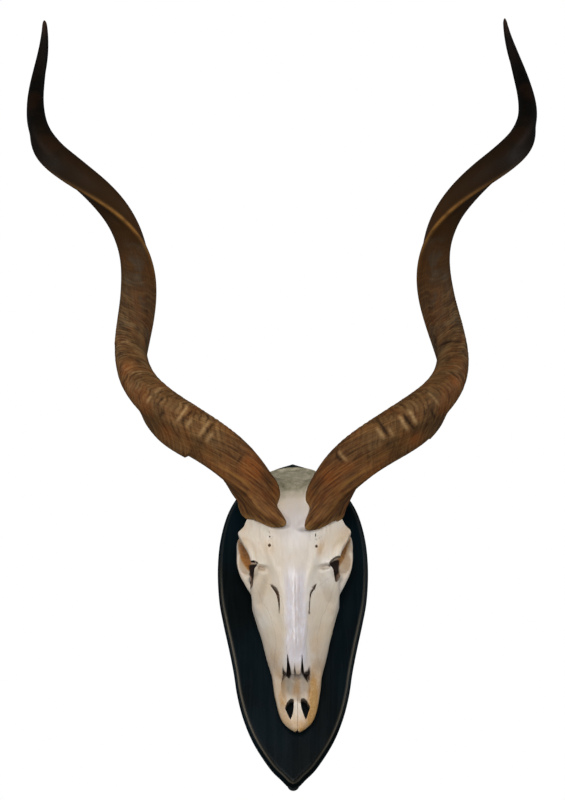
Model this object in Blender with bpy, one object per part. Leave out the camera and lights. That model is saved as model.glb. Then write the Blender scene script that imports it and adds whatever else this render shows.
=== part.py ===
"""Greater kudu skull and horns on a moulded wall shield.

Metres, +Z up. The origin is the middle of the shield's flat back, which lies on the wall plane Y = 0.
The viewer stands at -Y, and +X is to the viewer's right. "Left" and "right" are the viewer's.
"""
import math

import bmesh
import bpy
import numpy as np
from mathutils import Matrix, Vector

MM = 0.001
FIT_GAP = 0.3 * MM

# Shield
PLAQUE_THICKNESS = 22 * MM
# Half outline from the top peak down to the tip: half width and height, in millimetres
PLAQUE_OUTLINE = [
    (0, 256), (29, 246), (59, 228), (83, 205), (101, 173), (112, 130), (115.5, 84), (113, 36),
    (106, -2), (97.5, -40), (90, -77), (84, -114), (74, -151), (58.5, -187), (35, -223), (17.5, -241),
    (8.5, -250), (0, -254),
]
PLAQUE_SPLINE_STEPS = 2
EDGE_HEIGHT = 10 * MM
LEDGE_HEIGHT = 13.5 * MM
LEDGE_WIDTH = 3.2 * MM
BEAD_WIDTH = 6 * MM
BEAD_STEPS = 2
NUB_RADIUS = 9 * MM
NUB_BOTTOM = -256 * MM

# Skull frame: its middle plane stands beside the shield's and leans a little
SKULL_SHIFT = 3.7 * MM
SKULL_TURN = math.radians(-1.0)

# Skull body, in millimetres, from nose to nape: height up the wall, then distances from the shield's
# face (top and palate) and half width with distance for the ridge, the side wall and the lower wall
SKULL_STATIONS = [
    (-110, 60, 10, 56, 33, 42, 29, 13, 9),
    (-100, 80, 12, 76, 35, 44, 30, 13, 8),
    (-72, 95, 14, 90, 43, 47, 35, 12, 8),
    (-45, 104, 17, 97, 49.5, 52, 40, 12, 9),
    (-10, 114, 22, 106, 60, 60, 47, 14, 10),
    (8, 119, 24, 111, 64, 66, 50, 16, 12),
    (33, 125, 30, 118, 63, 74, 48, 18, 14),
    (55, 129, 38, 124, 52, 84, 42, 24, 16),
    (80, 133, 46, 128, 46, 90, 36, 28, 18),
    (105, 137, 50, 130, 48, 90, 36, 30, 20),
    (130, 137, 46, 128, 48, 84, 38, 32, 22),
    (160, 128, 40, 117, 46, 78, 40, 34, 22),
    (185, 112, 36, 102, 45, 68, 38, 32, 20),
    (203, 93, 38, 87, 44, 62, 34, 32, 22),
    (214, 77, 33, 73, 37, 54, 24, 38, 32),
]
# Premaxillae in front of the nose opening, given in the same way
MUZZLE_STATIONS = [
    (-92, 60, 24, 62, 37, 46, 31, 14, 10),
    (-125, 46, 22, 49, 33, 36, 28, 12, 10),
    (-150, 38, 17, 39, 27.5, 30, 23, 13, 12),
    (-165, 34, 13, 34, 21, 27, 17, 17, 15),
    (-174, 31, 8, 31, 12, 25, 9, 20, 18),
    (-179, 28, 3, 28, 4, 25, 3, 22, 21),
]
LOFT_STEPS = 3
# Edge of the bony roof over the eye: half width and height along the wall, in millimetres
BROW_OUTLINE = [
    (0, 150), (52, 142), (68, 124), (76, 108), (84, 100), (80, 90), (72, 72), (64, 57), (53, 51),
    (40, 48), (20, 40), (0, 36),
]
# Distance of the roof from the shield's face at its nose end and at its nape end, and its fall at the edge
BROW_LOW = (36, 122)
BROW_HIGH = (100, 133)
BROW_THICKNESS = 15 * MM
BROW_DROP = 9
BROW_WIDEST = 84
EYE_CENTRE = (70.5, 66, 96)
EYE_RING_RADIUS = 30 * MM
EYE_RING_THICKNESS = 5.5 * MM
EYE_LEAN = math.radians(18.7)
EYE_LIFT = math.radians(13)
EYE_HOLLOW = (25, 25, 34)
EYE_HOLLOW_SINK = 6 * MM
# Rounded forms of one side, mirrored on the other: centre and radii as (sideways, up, out)
SIDE_BALLS = [
    # Cheek swelling in front of the eye
    ((51, 16, 62), (14, 34, 26)),
    # Floor under the eye
    ((61, 72, 60), (20, 34, 12)),
    # Ear region
    ((25, 142, 20), (12, 17, 13)),
    # Knuckle that meets the neck
    ((15, 209, 24), (12, 12, 14)),
]
# Round bars of one side: points and the radius at each
SIDE_BARS = [
    # Cheek arch
    ([(50, 20, 66), (66, 38, 72), (79, 62, 72), (80, 92, 70), (70, 128, 62), (50, 156, 54)],
     [14, 10, 7, 6.5, 6, 9]),
    # Slope from the roof over the eye down to the cheek
    ([(42, 50, 102), (48, 30, 88), (49, 5, 70), (44, -24, 56)], [17, 18, 15, 11]),
    # Process beside the knuckle
    ([(38, 178, 44), (38, 186, 24), (34, 188, 9)], [10, 7, 4]),
    # Wing of the palate behind the teeth
    ([(15, 62, 22), (15, 84, 15), (16, 104, 24)], [4, 4, 4]),
]
# Ridge across the nape and the swelling under it
NAPE_RIDGE = ([(-46, 180, 60), (-36, 206, 70), (0, 213, 75), (36, 206, 70), (46, 180, 60)], [6, 6, 6, 6, 6])
NAPE_SWELLING = ((0, 205, 34), (30, 12, 22))
# Opening of the braincase at the nape
NAPE_HOLE = ((0, 214, 36), (10, 22, 9))
# Openings of the face as outlines of (sideways, up) millimetres; the two sides differ a little
NASAL_SLITS = [
    [(-13.9, -79.5), (-13.1, -80), (-11.2, -90), (-9.2, -99), (-9.0, -116), (-15.6, -116), (-15.6, -99)],
    [(7.0, -80.5), (7.8, -80.5), (9.9, -99), (10.4, -116), (5.4, -116), (5.6, -99)],
    [(-4.6, -116), (-3.7, -93), (-3.1, -93), (-1.0, -116)],
]
NASAL_CORNERS = [
    [(-20.9, -94.5), (-20.1, -95.5), (-19, -102), (-16.4, -104.5), (-9, -104.5), (-9, -118), (-20.2, -118)],
    [(17.6, -97.5), (18.6, -98.5), (18.2, -118), (5, -118), (5, -104.5), (13.8, -104.5), (16.2, -101.5)],
]
PALATE_HOLES = [
    [(-8, -130.8), (-5.7, -133), (-5.4, -142), (-7.2, -153), (-10.2, -161.2), (-12, -160.4), (-18.3, -145.5),
     (-11.5, -132)],
    [(5.1, -132.5), (7.4, -130.4), (10.7, -131.2), (18.4, -144.8), (12.8, -160.6), (10.8, -160.6),
     (6.9, -150), (5.0, -142)],
]
CHEEK_SLITS = [
    [(-36.8, 21.4), (-33, 20.2), (-27.4, 14.6), (-23.8, -4), (-24.6, -17), (-25.4, -17), (-28, 5),
     (-35.6, 19)],
    [(29.2, 20), (27.4, 19), (21.4, 8), (19.4, -17), (20.2, -17), (22, 0), (26.6, 13)],
]
EYE_CORNERS = [
    [(-68, 54), (-55, 54), (-57.5, 48), (-63.5, 26), (-66, 27), (-68, 46)],
    [(50, 53), (65, 60), (66, 50), (64.5, 36), (60, 28), (57.5, 34)],
]
# Small holes of the brow: sideways, up, half width and half height
BROW_HOLES = [(-37.5, 76.6, 2.4, 2.7), (-36.8, 89.5, 1.2, 1.5), (31.5, 74, 2.1, 2.5), (31, 89.5, 1.1, 2.8)]
BROW_HOLE_SIDES = 8
# Nose passage under the nasal bones and the two troughs of its floor: centre and radii
NOSE_TUNNEL = ((-1.5, -86, 56), (20, 44, 19))
NOSE_TROUGHS = [((-10.5, -121, 55), (13.5, 27, 21)), ((6.5, -121, 55), (13.5, 27, 21))]
# Distances from the shield's face between which the openings are cut
SLIT_DEPTHS = (62, 140)
CORNER_DEPTHS = (50, 140)
PALATE_DEPTHS = (-5, 60)
CHEEK_DEPTHS = (84, 140)
EYE_CORNER_DEPTHS = (78, 140)
BROW_HOLE_DEPTHS = (118, 150)
SKULL_VOXEL = 2.4 * MM
SKULL_TRIANGLES = 1900

# Horn path: a spiral about a leaning, slightly bowed line. Each horn grew a little differently
HORN_LEAN = math.radians(13)
HORN_LEFT = dict(
    side=-1, start=(86 * MM, -155 * MM, 127 * MM), splay=math.radians(23.0), bow=0.110, length=822 * MM,
    coil_base=41 * MM, coil_tip=32 * MM, phase=math.radians(-207), turns=1.977,
    lobe=16.5 * MM, waist=2.5 * MM, rim_lift=0.006, rim_lift_angle=math.radians(35), hollow=5 * MM,
)
HORN_RIGHT = dict(
    side=1, start=(91 * MM, -156 * MM, 123 * MM), splay=math.radians(18.8), bow=0.142, length=810 * MM,
    coil_base=48 * MM, coil_tip=37 * MM, phase=math.radians(-204), turns=1.946,
    lobe=15 * MM, waist=4 * MM, rim_lift=0.010, rim_lift_angle=math.radians(25), hollow=0.0,
)
# Horn radius in millimetres along its length, from base to tip
HORN_RADIUS = [
    (0.0, 35.3), (0.06, 32.0), (0.13, 29.2), (0.22, 28.4), (0.35, 23.5), (0.5, 21.5), (0.65, 20.7),
    (0.8, 15.4), (0.92, 10.0), (1.0, 2.0),
]
KEEL_HEIGHT = 0.48
KEEL_HALF_ANGLE = 0.42
KEEL_LEAD_BASE = math.radians(110)
KEEL_LEAD_TIP = math.radians(34)
# The foot of the sheath: a lobe toward the middle, a waist beside it and a taper on the outer side
LOBE_ANGLE = math.radians(-12)
LOBE_HALF_ANGLE = 0.28
LOBE_LENGTH = 20 * MM
WAIST_ANGLE = math.radians(-44)
TAPER = 7 * MM
TAPER_ANGLE = math.radians(95)
TAPER_HALF_ANGLE = 0.75
TAPER_LENGTH = 30 * MM
# Deepest place of the outer side's further hollow above the rim, and its half length
HOLLOW_PLACE = 18 * MM
HOLLOW_LENGTH = 14 * MM
# How far the rim stands up along the horn, as shares of its length
RIM_LIFT = 0.010
RIM_LIFT_HALF_ANGLE = 0.45
RING_SPACING = 0.016
RING_END = 0.46
RING_FADE = 0.12
RING_HEIGHT = 1.1 * MM
SMOOTH_RINGS = 20
# Angles round the horn, in degrees from the keel
HORN_SIDES = [0, 15, 35, 64, 98, 135, 175, 215, 255, 290, 318, 334, 348]
# Plane of the horn's base rim on the left: outward, toward the viewer, up
BASE_PLANE = (0.254, -0.939, 0.233)
BASE_SINK = 2 * MM
SEAT_GAP = 0.5 * MM
SEAT_RINGS = 7
PEDICEL_SCALE = 0.93
PEDICEL_DEPTH = 34 * MM
PEDICEL_RISE = 4 * MM
# Point inside the skull toward which the bony feet of the horns run
PEDICEL_AIM = (0, -117 * MM, 135 * MM)

# Upper cheek teeth: length of each crown along the jaw, in millimetres, front to back
CROWN_LENGTHS = [11, 13, 14, 17, 20, 19]
TEETH_START = (25, -56)
TEETH_END = (38, 41)
# Outline of a crown, as shares of its half width and half length
CROWN_OUTLINE = [
    (1, -0.55), (0.8, -1), (-0.8, -1), (-1, -0.5), (-1, 0.5), (-0.8, 1), (0.8, 1), (1, 0.55), (0.86, 0),
]
CROWN_WIDTH = 15 * MM
CROWN_TOP = 13 * MM
CROWN_FOOT = 0.5 * MM
ROOT_WIDTH = 10 * MM
ROOT_TOP = 19 * MM

# Wood screws from the back of the shield into the skull: height up the wall, in millimetres
SCREW_HEIGHTS = {"fixing_screw_lower": (-25, 42), "fixing_screw_upper": (150, 54)}
SCREW_RADIUS = 2 * MM
SCREW_HEAD_RADIUS = 4.2 * MM
SCREW_HEAD_DEPTH = 3 * MM
SCREW_SLOT_WIDTH = 1.2 * MM
SCREW_SLOT_DEPTH = 1.1 * MM
SCREW_SIDES = 12


# Helpers
def spline(points, steps, closed=False):
    """Smooth curve through the points, as a Catmull-Rom curve with the given steps between them."""
    pts = np.array(points, dtype=float)
    count = len(pts)
    spans = count if closed else count - 1
    rows = []
    for i in range(spans):
        if closed:
            a, b, c, d = (pts[(i + k) % count] for k in (-1, 0, 1, 2))
        else:
            b, c = pts[i], pts[i + 1]
            a = pts[i - 1] if i > 0 else 2 * b - c
            d = pts[i + 2] if i + 2 < count else 2 * c - b
        for j in range(steps):
            t = j / steps
            rows.append(0.5 * (2 * b + (c - a) * t + (2 * a - 5 * b + 4 * c - d) * t ** 2
                               + (3 * b - a - 3 * c + d) * t ** 3))
    if not closed:
        rows.append(pts[-1])
    return np.array(rows)


def material(name, colour, roughness, metallic=0.0):
    mat = bpy.data.materials.new(name)
    mat.use_nodes = True
    shader = mat.node_tree.nodes["Principled BSDF"]
    shader.inputs["Base Color"].default_value = (*colour, 1.0)
    shader.inputs["Roughness"].default_value = roughness
    shader.inputs["Metallic"].default_value = metallic
    return mat


def add_object(name, bm, mat=None, parent=None, smooth=True):
    bmesh.ops.recalc_face_normals(bm, faces=bm.faces)
    mesh = bpy.data.meshes.new(name)
    bm.to_mesh(mesh)
    bm.free()
    obj = bpy.data.objects.new(name, mesh)
    bpy.context.collection.objects.link(obj)
    obj.parent = parent
    if mat:
        mesh.materials.append(mat)
    if smooth:
        mesh.shade_smooth()
        mesh.set_sharp_from_angle(angle=math.radians(50))
    return obj


def add_loops(bm, loops, fan=False):
    """Skins a tube through loops of points and closes both ends, the first with a fan if asked."""
    rings = [[bm.verts.new(p) for p in loop] for loop in loops]
    for a, b in zip(rings, rings[1:]):
        for i in range(len(a)):
            j = (i + 1) % len(a)
            bm.faces.new((a[i], a[j], b[j], b[i]))
    first = rings[0]
    if fan:
        middle = bm.verts.new(sum((v.co for v in first), Vector()) / len(first))
        for i in range(len(first)):
            bm.faces.new((first[(i + 1) % len(first)], first[i], middle))
    else:
        bm.faces.new(list(reversed(first)))
    bm.faces.new(rings[-1])


def place(x, z, depth):
    """A point of the skull frame from millimetres: sideways, up the wall and out from the shield."""
    return Vector((x * MM, -depth * MM, z * MM))


def add_ball(bm, centre, radii, turn=None, segments=16):
    matrix = Matrix.Translation(place(*centre)) @ (turn or Matrix.Identity(4))
    matrix = matrix @ Matrix.Diagonal((radii[0] * MM, radii[2] * MM, radii[1] * MM, 1.0))
    bmesh.ops.create_uvsphere(bm, u_segments=segments, v_segments=segments // 2, radius=1.0, matrix=matrix)


def add_bar(bm, points, radii, sides=12):
    """A round bar through skull-frame points, with a radius in millimetres at each."""
    data = spline([(*place(*p), r * MM) for p, r in zip(points, radii)], 4)
    loops = []
    for i, row in enumerate(data):
        ahead = data[min(i + 1, len(data) - 1)][:3]
        behind = data[max(i - 1, 0)][:3]
        along = Vector(ahead - behind).normalized()
        across = along.orthogonal() if i == 0 else across - along * across.dot(along)
        across.normalize()
        other = along.cross(across)
        loop = []
        for k in range(sides):
            a = 2 * math.pi * k / sides
            loop.append(Vector(row[:3]) + (across * math.cos(a) + other * math.sin(a)) * row[3])
        loops.append(loop)
    add_loops(bm, loops)


def add_prism(bm, outline, low, high):
    """A prism over an outline of (sideways, up) millimetres, between two distances from the shield."""
    add_loops(bm, [[place(x, z, low) for x, z in outline], [place(x, z, high) for x, z in outline]])


def cut(target, cutter, solver="EXACT"):
    cutter.hide_render = True
    cutter.display_type = "WIRE"
    mod = target.modifiers.new("cut by " + cutter.name, "BOOLEAN")
    mod.operation = "DIFFERENCE"
    mod.solver = solver
    mod.object = cutter


# Shield
def plaque_loop(inset, height):
    """The shield's outline moved in by the inset, at a height over the wall."""
    half = spline(PLAQUE_OUTLINE, PLAQUE_SPLINE_STEPS) * MM
    right = [Vector(p) for p in half]
    left = [Vector((-p.x, p.y)) for p in reversed(right[1:-1])]
    ring = right + left
    points = []
    for i, p in enumerate(ring):
        before = (p - ring[i - 1]).normalized()
        after = (ring[(i + 1) % len(ring)] - p).normalized()
        inward = Vector((before.y + after.y, -before.x - after.x)).normalized()
        mitre = max(0.5, inward.dot(Vector((after.y, -after.x))))
        q = p + inward * (inset / mitre)
        points.append(Vector((q.x, -height, q.y)))
    return points


def build_plaque(mat):
    profile = [(0, 0), (0, EDGE_HEIGHT), (1 * MM, EDGE_HEIGHT + 1.5 * MM), (LEDGE_WIDTH, LEDGE_HEIGHT)]
    for k in range(1, BEAD_STEPS + 1):
        a = 0.5 * math.pi * k / BEAD_STEPS
        profile.append((
            LEDGE_WIDTH + BEAD_WIDTH * (1 - math.cos(a)),
            LEDGE_HEIGHT + (PLAQUE_THICKNESS - LEDGE_HEIGHT) * math.sin(a),
        ))
    bm = bmesh.new()
    add_loops(bm, [plaque_loop(inset, height) for inset, height in profile])
    plaque = add_object("plaque", bm, mat)
    bm = bmesh.new()
    centre = Vector((0, -EDGE_HEIGHT / 2, NUB_BOTTOM + NUB_RADIUS))
    matrix = Matrix.Translation(centre) @ Matrix.Rotation(math.pi / 2, 4, "X")
    bmesh.ops.create_cone(bm, cap_ends=True, segments=20, radius1=NUB_RADIUS, radius2=NUB_RADIUS,
                          depth=EDGE_HEIGHT, matrix=matrix)
    nub = add_object("nub_guide", bm)
    nub.hide_render = True
    nub.display_type = "WIRE"
    join = plaque.modifiers.new("nub", "BOOLEAN")
    join.operation = "UNION"
    join.object = nub
    return plaque


# Horns
def horn_axes(horn):
    """The horn's own directions: along its middle line, outward and toward the viewer."""
    splay = horn["splay"]
    level = math.cos(splay)
    along = Vector((math.sin(splay), -math.sin(HORN_LEAN) * level, math.cos(HORN_LEAN) * level))
    outward = Vector((math.cos(splay), 0, -math.sin(splay)))
    forward = along.cross(outward)
    outward = forward.cross(along).normalized()
    forward.normalize()
    return along, -outward if outward.x < 0 else outward, -forward if forward.y > 0 else forward


def horn_centre(horn, s):
    along, outward, forward = horn_axes(horn)
    angle = horn["phase"] + 2 * math.pi * horn["turns"] * s
    coil = horn["coil_base"] + (horn["coil_tip"] - horn["coil_base"]) * s
    centre = Vector(horn["start"]) + horn["length"] * (s * along + horn["bow"] * s * (1 - s) * outward)
    return centre + coil * (math.cos(angle) * outward - math.sin(angle) * forward), angle


def horn_frame(horn, s):
    """Centre, tangent, keel direction and cross direction at s, for a horn on the +X side."""
    centre, angle = horn_centre(horn, s)
    step = 0.001
    tangent = (horn_centre(horn, s + step)[0] - horn_centre(horn, s - step)[0]).normalized()
    _, outward, forward = horn_axes(horn)
    keel = angle + KEEL_LEAD_BASE + (KEEL_LEAD_TIP - KEEL_LEAD_BASE) * s
    toward = math.cos(keel) * outward - math.sin(keel) * forward
    toward = (toward - toward.dot(tangent) * tangent).normalized()
    return centre, tangent, toward, tangent.cross(toward)


def bell(angle, middle, half_angle):
    around = (angle - middle + math.pi) % (2 * math.pi) - math.pi
    return math.exp(-(around / half_angle) ** 2)


def horn_radius(horn, s, angle):
    """Radius with the keel and, near the rim, the foot's lobe, waist and taper."""
    knots = np.array(HORN_RADIUS)
    radius = float(np.interp(s, knots[:, 0], knots[:, 1])) * MM
    radius *= 1 + KEEL_HEIGHT * bell(angle, 0.0, KEEL_HALF_ANGLE)
    up = max(0.0, s - horn_start(horn, angle, 0.0)) * horn["length"]
    near = math.exp(-(up / LOBE_LENGTH) ** 2)
    radius += horn["lobe"] * bell(angle, LOBE_ANGLE, LOBE_HALF_ANGLE) * near
    radius -= horn["waist"] * bell(angle, WAIST_ANGLE, LOBE_HALF_ANGLE) * near
    outer = bell(angle, TAPER_ANGLE, TAPER_HALF_ANGLE)
    radius -= outer * TAPER * math.exp(-(up / TAPER_LENGTH) ** 2)
    return radius - outer * horn["hollow"] * math.exp(-((up - HOLLOW_PLACE) / HOLLOW_LENGTH) ** 2)


def horn_ripple(u):
    """Height of the growth rings, which fade out toward the smooth upper horn and toward the rim."""
    fade = min(1.0, max(0.0, (RING_END - u) / RING_FADE)) * min(1.0, u / RING_SPACING)
    return -fade * RING_HEIGHT * math.cos(2 * math.pi * u / RING_SPACING)


def horn_start(horn, angle, sink):
    """Where along the horn the base rim lies at this angle round it."""
    centre, tangent, toward, across = horn_frame(horn, 0.0)
    radius = HORN_RADIUS[0][1] * MM * (1 + KEEL_HEIGHT * bell(angle, 0.0, KEEL_HALF_ANGLE))
    rim = radius * (math.cos(angle) * toward + math.sin(angle) * across)
    normal = Vector(BASE_PLANE)
    speed = (horn_centre(horn, 0.001)[0] - centre).length / 0.001
    lift = RIM_LIFT + horn["rim_lift"] * bell(angle, horn["rim_lift_angle"], RIM_LIFT_HALF_ANGLE)
    return (-rim.dot(normal) / tangent.dot(normal) - sink) / speed + lift


def horn_loops(horn, positions, grow=0.0, scale=1.0, sink=BASE_SINK):
    """Loops of points round the horn. The positions run from 0 at the rim to 1 at the tip."""
    loops = []
    angles = [math.radians(a) for a in HORN_SIDES]
    starts = [horn_start(horn, a, sink) for a in angles]
    for u in positions:
        loop = []
        for angle, start in zip(angles, starts):
            s = start + (1 - start) * u
            centre, _, toward, across = horn_frame(horn, s)
            radius = horn_radius(horn, s, angle) * scale + horn_ripple(u) + grow
            p = centre + radius * (math.cos(angle) * toward + math.sin(angle) * across)
            loop.append(Vector((p.x * horn["side"], p.y, p.z)))
        loops.append(loop)
    return loops


def build_horn(name, horn, mat):
    ridges = round(RING_END / RING_SPACING)
    lower = [k * RING_SPACING / 2 for k in range(2 * ridges)]
    upper = [RING_END + (1 - RING_END) * (k / SMOOTH_RINGS) for k in range(SMOOTH_RINGS + 1)]
    bm = bmesh.new()
    add_loops(bm, horn_loops(horn, lower + upper), fan=True)
    return add_object(name, bm, mat)


def horn_socket(name, horn):
    """The horn's foot, larger by the fit gap, which cuts its seat out of the skull."""
    bm = bmesh.new()
    positions = [k * RING_SPACING / 2 for k in range(SEAT_RINGS)]
    add_loops(bm, horn_loops(horn, positions, grow=SEAT_GAP, sink=BASE_SINK + SEAT_GAP), fan=True)
    return add_object(name, bm)


# Skull
def station_loops(stations):
    loops = []
    for z, top, ridge, ridge_d, wall, wall_d, low, low_d, palate in spline(stations, LOFT_STEPS):
        # Between the middle and the ridge the section stays a little fuller than a straight line
        shoulder = (ridge * 0.55, top * 0.6 + ridge_d * 0.4 + 0.4)
        half = [shoulder, (ridge, ridge_d), (wall, wall_d), (low, low_d)]
        ring = [(0, top)] + half + [(0, palate)] + [(-x, d) for x, d in reversed(half)]
        loops.append([place(x, z, d) for x, d in spline(ring, 4, closed=True)])
    return loops


def eye_matrix(side):
    """Turns a ring drawn round +Z into the eye's rim, on one side of the skull."""
    level = math.cos(EYE_LIFT)
    out = Vector((side * math.cos(EYE_LEAN) * level, -math.sin(EYE_LIFT), -math.sin(EYE_LEAN) * level))
    x, z, depth = EYE_CENTRE
    turn = Vector((0, 0, 1)).rotation_difference(out).to_matrix().to_4x4()
    return Matrix.Translation(place(x * side, z, depth)) @ turn


def add_ring(bm, matrix, radius, thickness, sides=32, round_steps=12):
    loops = []
    for i in range(sides):
        a = 2 * math.pi * i / sides
        out = Vector((math.cos(a), math.sin(a), 0))
        loop = []
        for k in range(round_steps):
            b = 2 * math.pi * k / round_steps
            rise = Vector((0, 0, thickness * math.sin(b)))
            loop.append(matrix @ (out * (radius + thickness * math.cos(b)) + rise))
        loops.append([bm.verts.new(p) for p in loop])
    for i in range(sides):
        a, b = loops[i], loops[(i + 1) % sides]
        for k in range(round_steps):
            j = (k + 1) % round_steps
            bm.faces.new((a[k], a[j], b[j], b[k]))


def skull_forms(bm):
    """The forms that the skull is fused from."""
    add_loops(bm, station_loops(SKULL_STATIONS))
    add_loops(bm, station_loops(MUZZLE_STATIONS))
    # Roof over the eyes, falling a little toward its edge
    half = spline(BROW_OUTLINE, 2)
    for side in (-1, 1):
        upper = []
        for x, z in half:
            level = np.interp(z, (BROW_LOW[0], BROW_HIGH[0]), (BROW_LOW[1], BROW_HIGH[1]))
            upper.append(place(side * x, z, level - BROW_DROP * (x / BROW_WIDEST) ** 2))
        lower = [p + Vector((0, BROW_THICKNESS, 0)) for p in upper]
        add_loops(bm, [upper, lower])
        add_ring(bm, eye_matrix(side), EYE_RING_RADIUS, EYE_RING_THICKNESS)
        for (x, z, depth), radii in SIDE_BALLS:
            add_ball(bm, (side * x, z, depth), radii)
        for points, radii in SIDE_BARS:
            add_bar(bm, [(side * x, z, depth) for x, z, depth in points], radii)
    add_bar(bm, *NAPE_RIDGE)
    add_ball(bm, *NAPE_SWELLING)


def add_pedicel(bm, horn, frame):
    """The bony foot under a horn, just inside the horn's rim."""
    normal = Vector(BASE_PLANE)
    normal.x *= horn["side"]
    rim = horn_loops(horn, [0.0], scale=PEDICEL_SCALE, sink=0.0)[0]
    to_skull = frame.inverted()
    upper = [to_skull @ (p + normal * PEDICEL_RISE) for p in rim]
    middle = sum(rim, Vector()) / len(rim)
    inner = Vector(PEDICEL_AIM)
    lower = [to_skull @ (p + (inner - middle).normalized() * PEDICEL_DEPTH) for p in rim]
    add_loops(bm, [lower, upper])


def nose_cutters():
    """Shapes cut from the skull: nose opening, its slits, eye openings and the small holes."""
    shapes = {}

    def shape(name):
        shapes[name] = bmesh.new()
        return shapes[name]

    add_ball(shape("nose_tunnel_guide"), *NOSE_TUNNEL)
    for (centre, radii), tag in zip(NOSE_TROUGHS, ("left", "right")):
        add_ball(shape("nose_floor_%s_guide" % tag), centre, radii)
    openings = [
        ("nasal_slits_guide", NASAL_SLITS, SLIT_DEPTHS),
        ("nasal_corners_guide", NASAL_CORNERS, CORNER_DEPTHS),
        ("palate_holes_guide", PALATE_HOLES, PALATE_DEPTHS),
        ("cheek_slits_guide", CHEEK_SLITS, CHEEK_DEPTHS),
        ("eye_corners_guide", EYE_CORNERS, EYE_CORNER_DEPTHS),
    ]
    for name, outlines, depths in openings:
        bm = shape(name)
        for outline in outlines:
            add_prism(bm, outline, *depths)
    for side, tag in ((-1, "left"), (1, "right")):
        bm = shape("eye_hollow_%s_guide" % tag)
        matrix = eye_matrix(side) @ Matrix.Translation((0, 0, -EYE_HOLLOW_SINK))
        matrix = matrix @ Matrix.Diagonal((EYE_HOLLOW[0] * MM, EYE_HOLLOW[1] * MM, EYE_HOLLOW[2] * MM, 1))
        bmesh.ops.create_uvsphere(bm, u_segments=16, v_segments=10, radius=1.0, matrix=matrix)
    bm = shape("brow_holes_guide")
    turns = [2 * math.pi * k / BROW_HOLE_SIDES for k in range(BROW_HOLE_SIDES)]
    for x, z, across, high in BROW_HOLES:
        add_prism(bm, [(x + across * math.cos(a), z + high * math.sin(a)) for a in turns], *BROW_HOLE_DEPTHS)
    add_ball(shape("nape_hole_guide"), *NAPE_HOLE)
    return shapes


def build_skull(mat, frame_empty, frame, horns, tooth_guides, screw_guides):
    bm = bmesh.new()
    skull_forms(bm)
    for horn in horns.values():
        add_pedicel(bm, horn, frame)
    skull = add_object("skull", bm, mat, frame_empty)
    fuse = skull.modifiers.new("fuse", "REMESH")
    fuse.mode = "VOXEL"
    fuse.voxel_size = SKULL_VOXEL
    soften = skull.modifiers.new("soften", "SMOOTH")
    soften.factor = 0.5
    soften.iterations = 5
    evaluated = skull.evaluated_get(bpy.context.evaluated_depsgraph_get())
    thin = skull.modifiers.new("thin", "DECIMATE")
    thin.ratio = SKULL_TRIANGLES / (2 * len(evaluated.data.polygons))
    for name, shape in nose_cutters().items():
        cut(skull, add_object(name, shape, parent=frame_empty))
    for name, horn in horns.items():
        cut(skull, horn_socket(name + "_seat_guide", horn))
    for guide in tooth_guides + screw_guides:
        cut(skull, guide)
    return skull


# Teeth
def tooth_row_point(distance):
    """A place along the tooth row, bowed outward, and the direction of the row there."""
    length = sum(CROWN_LENGTHS)
    t = distance / length
    x = TEETH_START[0] + (TEETH_END[0] - TEETH_START[0]) * math.sin(0.5 * math.pi * min(1.0, max(0.0, t)))
    z = TEETH_START[1] + (TEETH_END[1] - TEETH_START[1]) * t
    return x, z


def teeth_loop(side, width, start, end, count=5):
    """The outline of a strip along the tooth row, as (sideways, up) millimetres."""
    inner, outer = [], []
    for k in range(count):
        x, z = tooth_row_point(start + (end - start) * k / (count - 1))
        inner.append((side * (x - width / 2), z))
        outer.append((side * (x + width / 2), z))
    return outer + list(reversed(inner))


def build_teeth(name, side, mat, parent):
    """One row of crowns fused on a strip of roots."""
    length = sum(CROWN_LENGTHS)
    width = CROWN_WIDTH / MM
    bm = bmesh.new()
    root = ROOT_WIDTH / MM
    add_prism(bm, teeth_loop(side, root, 1, length - 1), CROWN_TOP / MM - 2, ROOT_TOP / MM)
    row = add_object(name, bm, mat, parent)
    start = 0
    for i, size in enumerate(CROWN_LENGTHS):
        bm = bmesh.new()
        x, z = tooth_row_point(start + size / 2)
        half = size / 2 + 0.3
        ahead = width / 2 * (0.86 if i < 3 else 1.0)
        outline = []
        for a, b in CROWN_OUTLINE:
            outline.append((side * (x + a * ahead), z + b * half))
        foot = []
        for px, pz in outline:
            foot.append(place(px + (side * x - px) * 0.12, pz + (z - pz) * 0.05, CROWN_FOOT / MM))
        rim = [place(px, pz, 5) for px, pz in outline]
        neck = [place(px, pz, CROWN_TOP / MM) for px, pz in outline]
        add_loops(bm, [foot, rim, neck])
        crown = add_object("%s_crown_%d_guide" % (name, i + 1), bm, parent=parent)
        crown.hide_render = True
        crown.display_type = "WIRE"
        join = row.modifiers.new("crown %d" % (i + 1), "BOOLEAN")
        join.operation = "UNION"
        join.object = crown
        start += size
    return row


def teeth_socket(name, side, parent):
    """The groove for a tooth row: the roots' strip and the crowns' band, larger by the fit gap."""
    length = sum(CROWN_LENGTHS)
    gap = FIT_GAP / MM
    bm = bmesh.new()
    wide = teeth_loop(side, CROWN_WIDTH / MM + 2 * gap + 1.6, -2, length + 2)
    narrow = teeth_loop(side, ROOT_WIDTH / MM + 2 * gap, 1 - gap, length - 1 + gap)
    add_loops(bm, [[place(x, z, -5) for x, z in wide], [place(x, z, CROWN_TOP / MM + gap) for x, z in wide],
                   [place(x, z, CROWN_TOP / MM + gap + 0.01) for x, z in narrow],
                   [place(x, z, ROOT_TOP / MM + gap) for x, z in narrow]])
    return add_object(name, bm, parent=parent)


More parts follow.
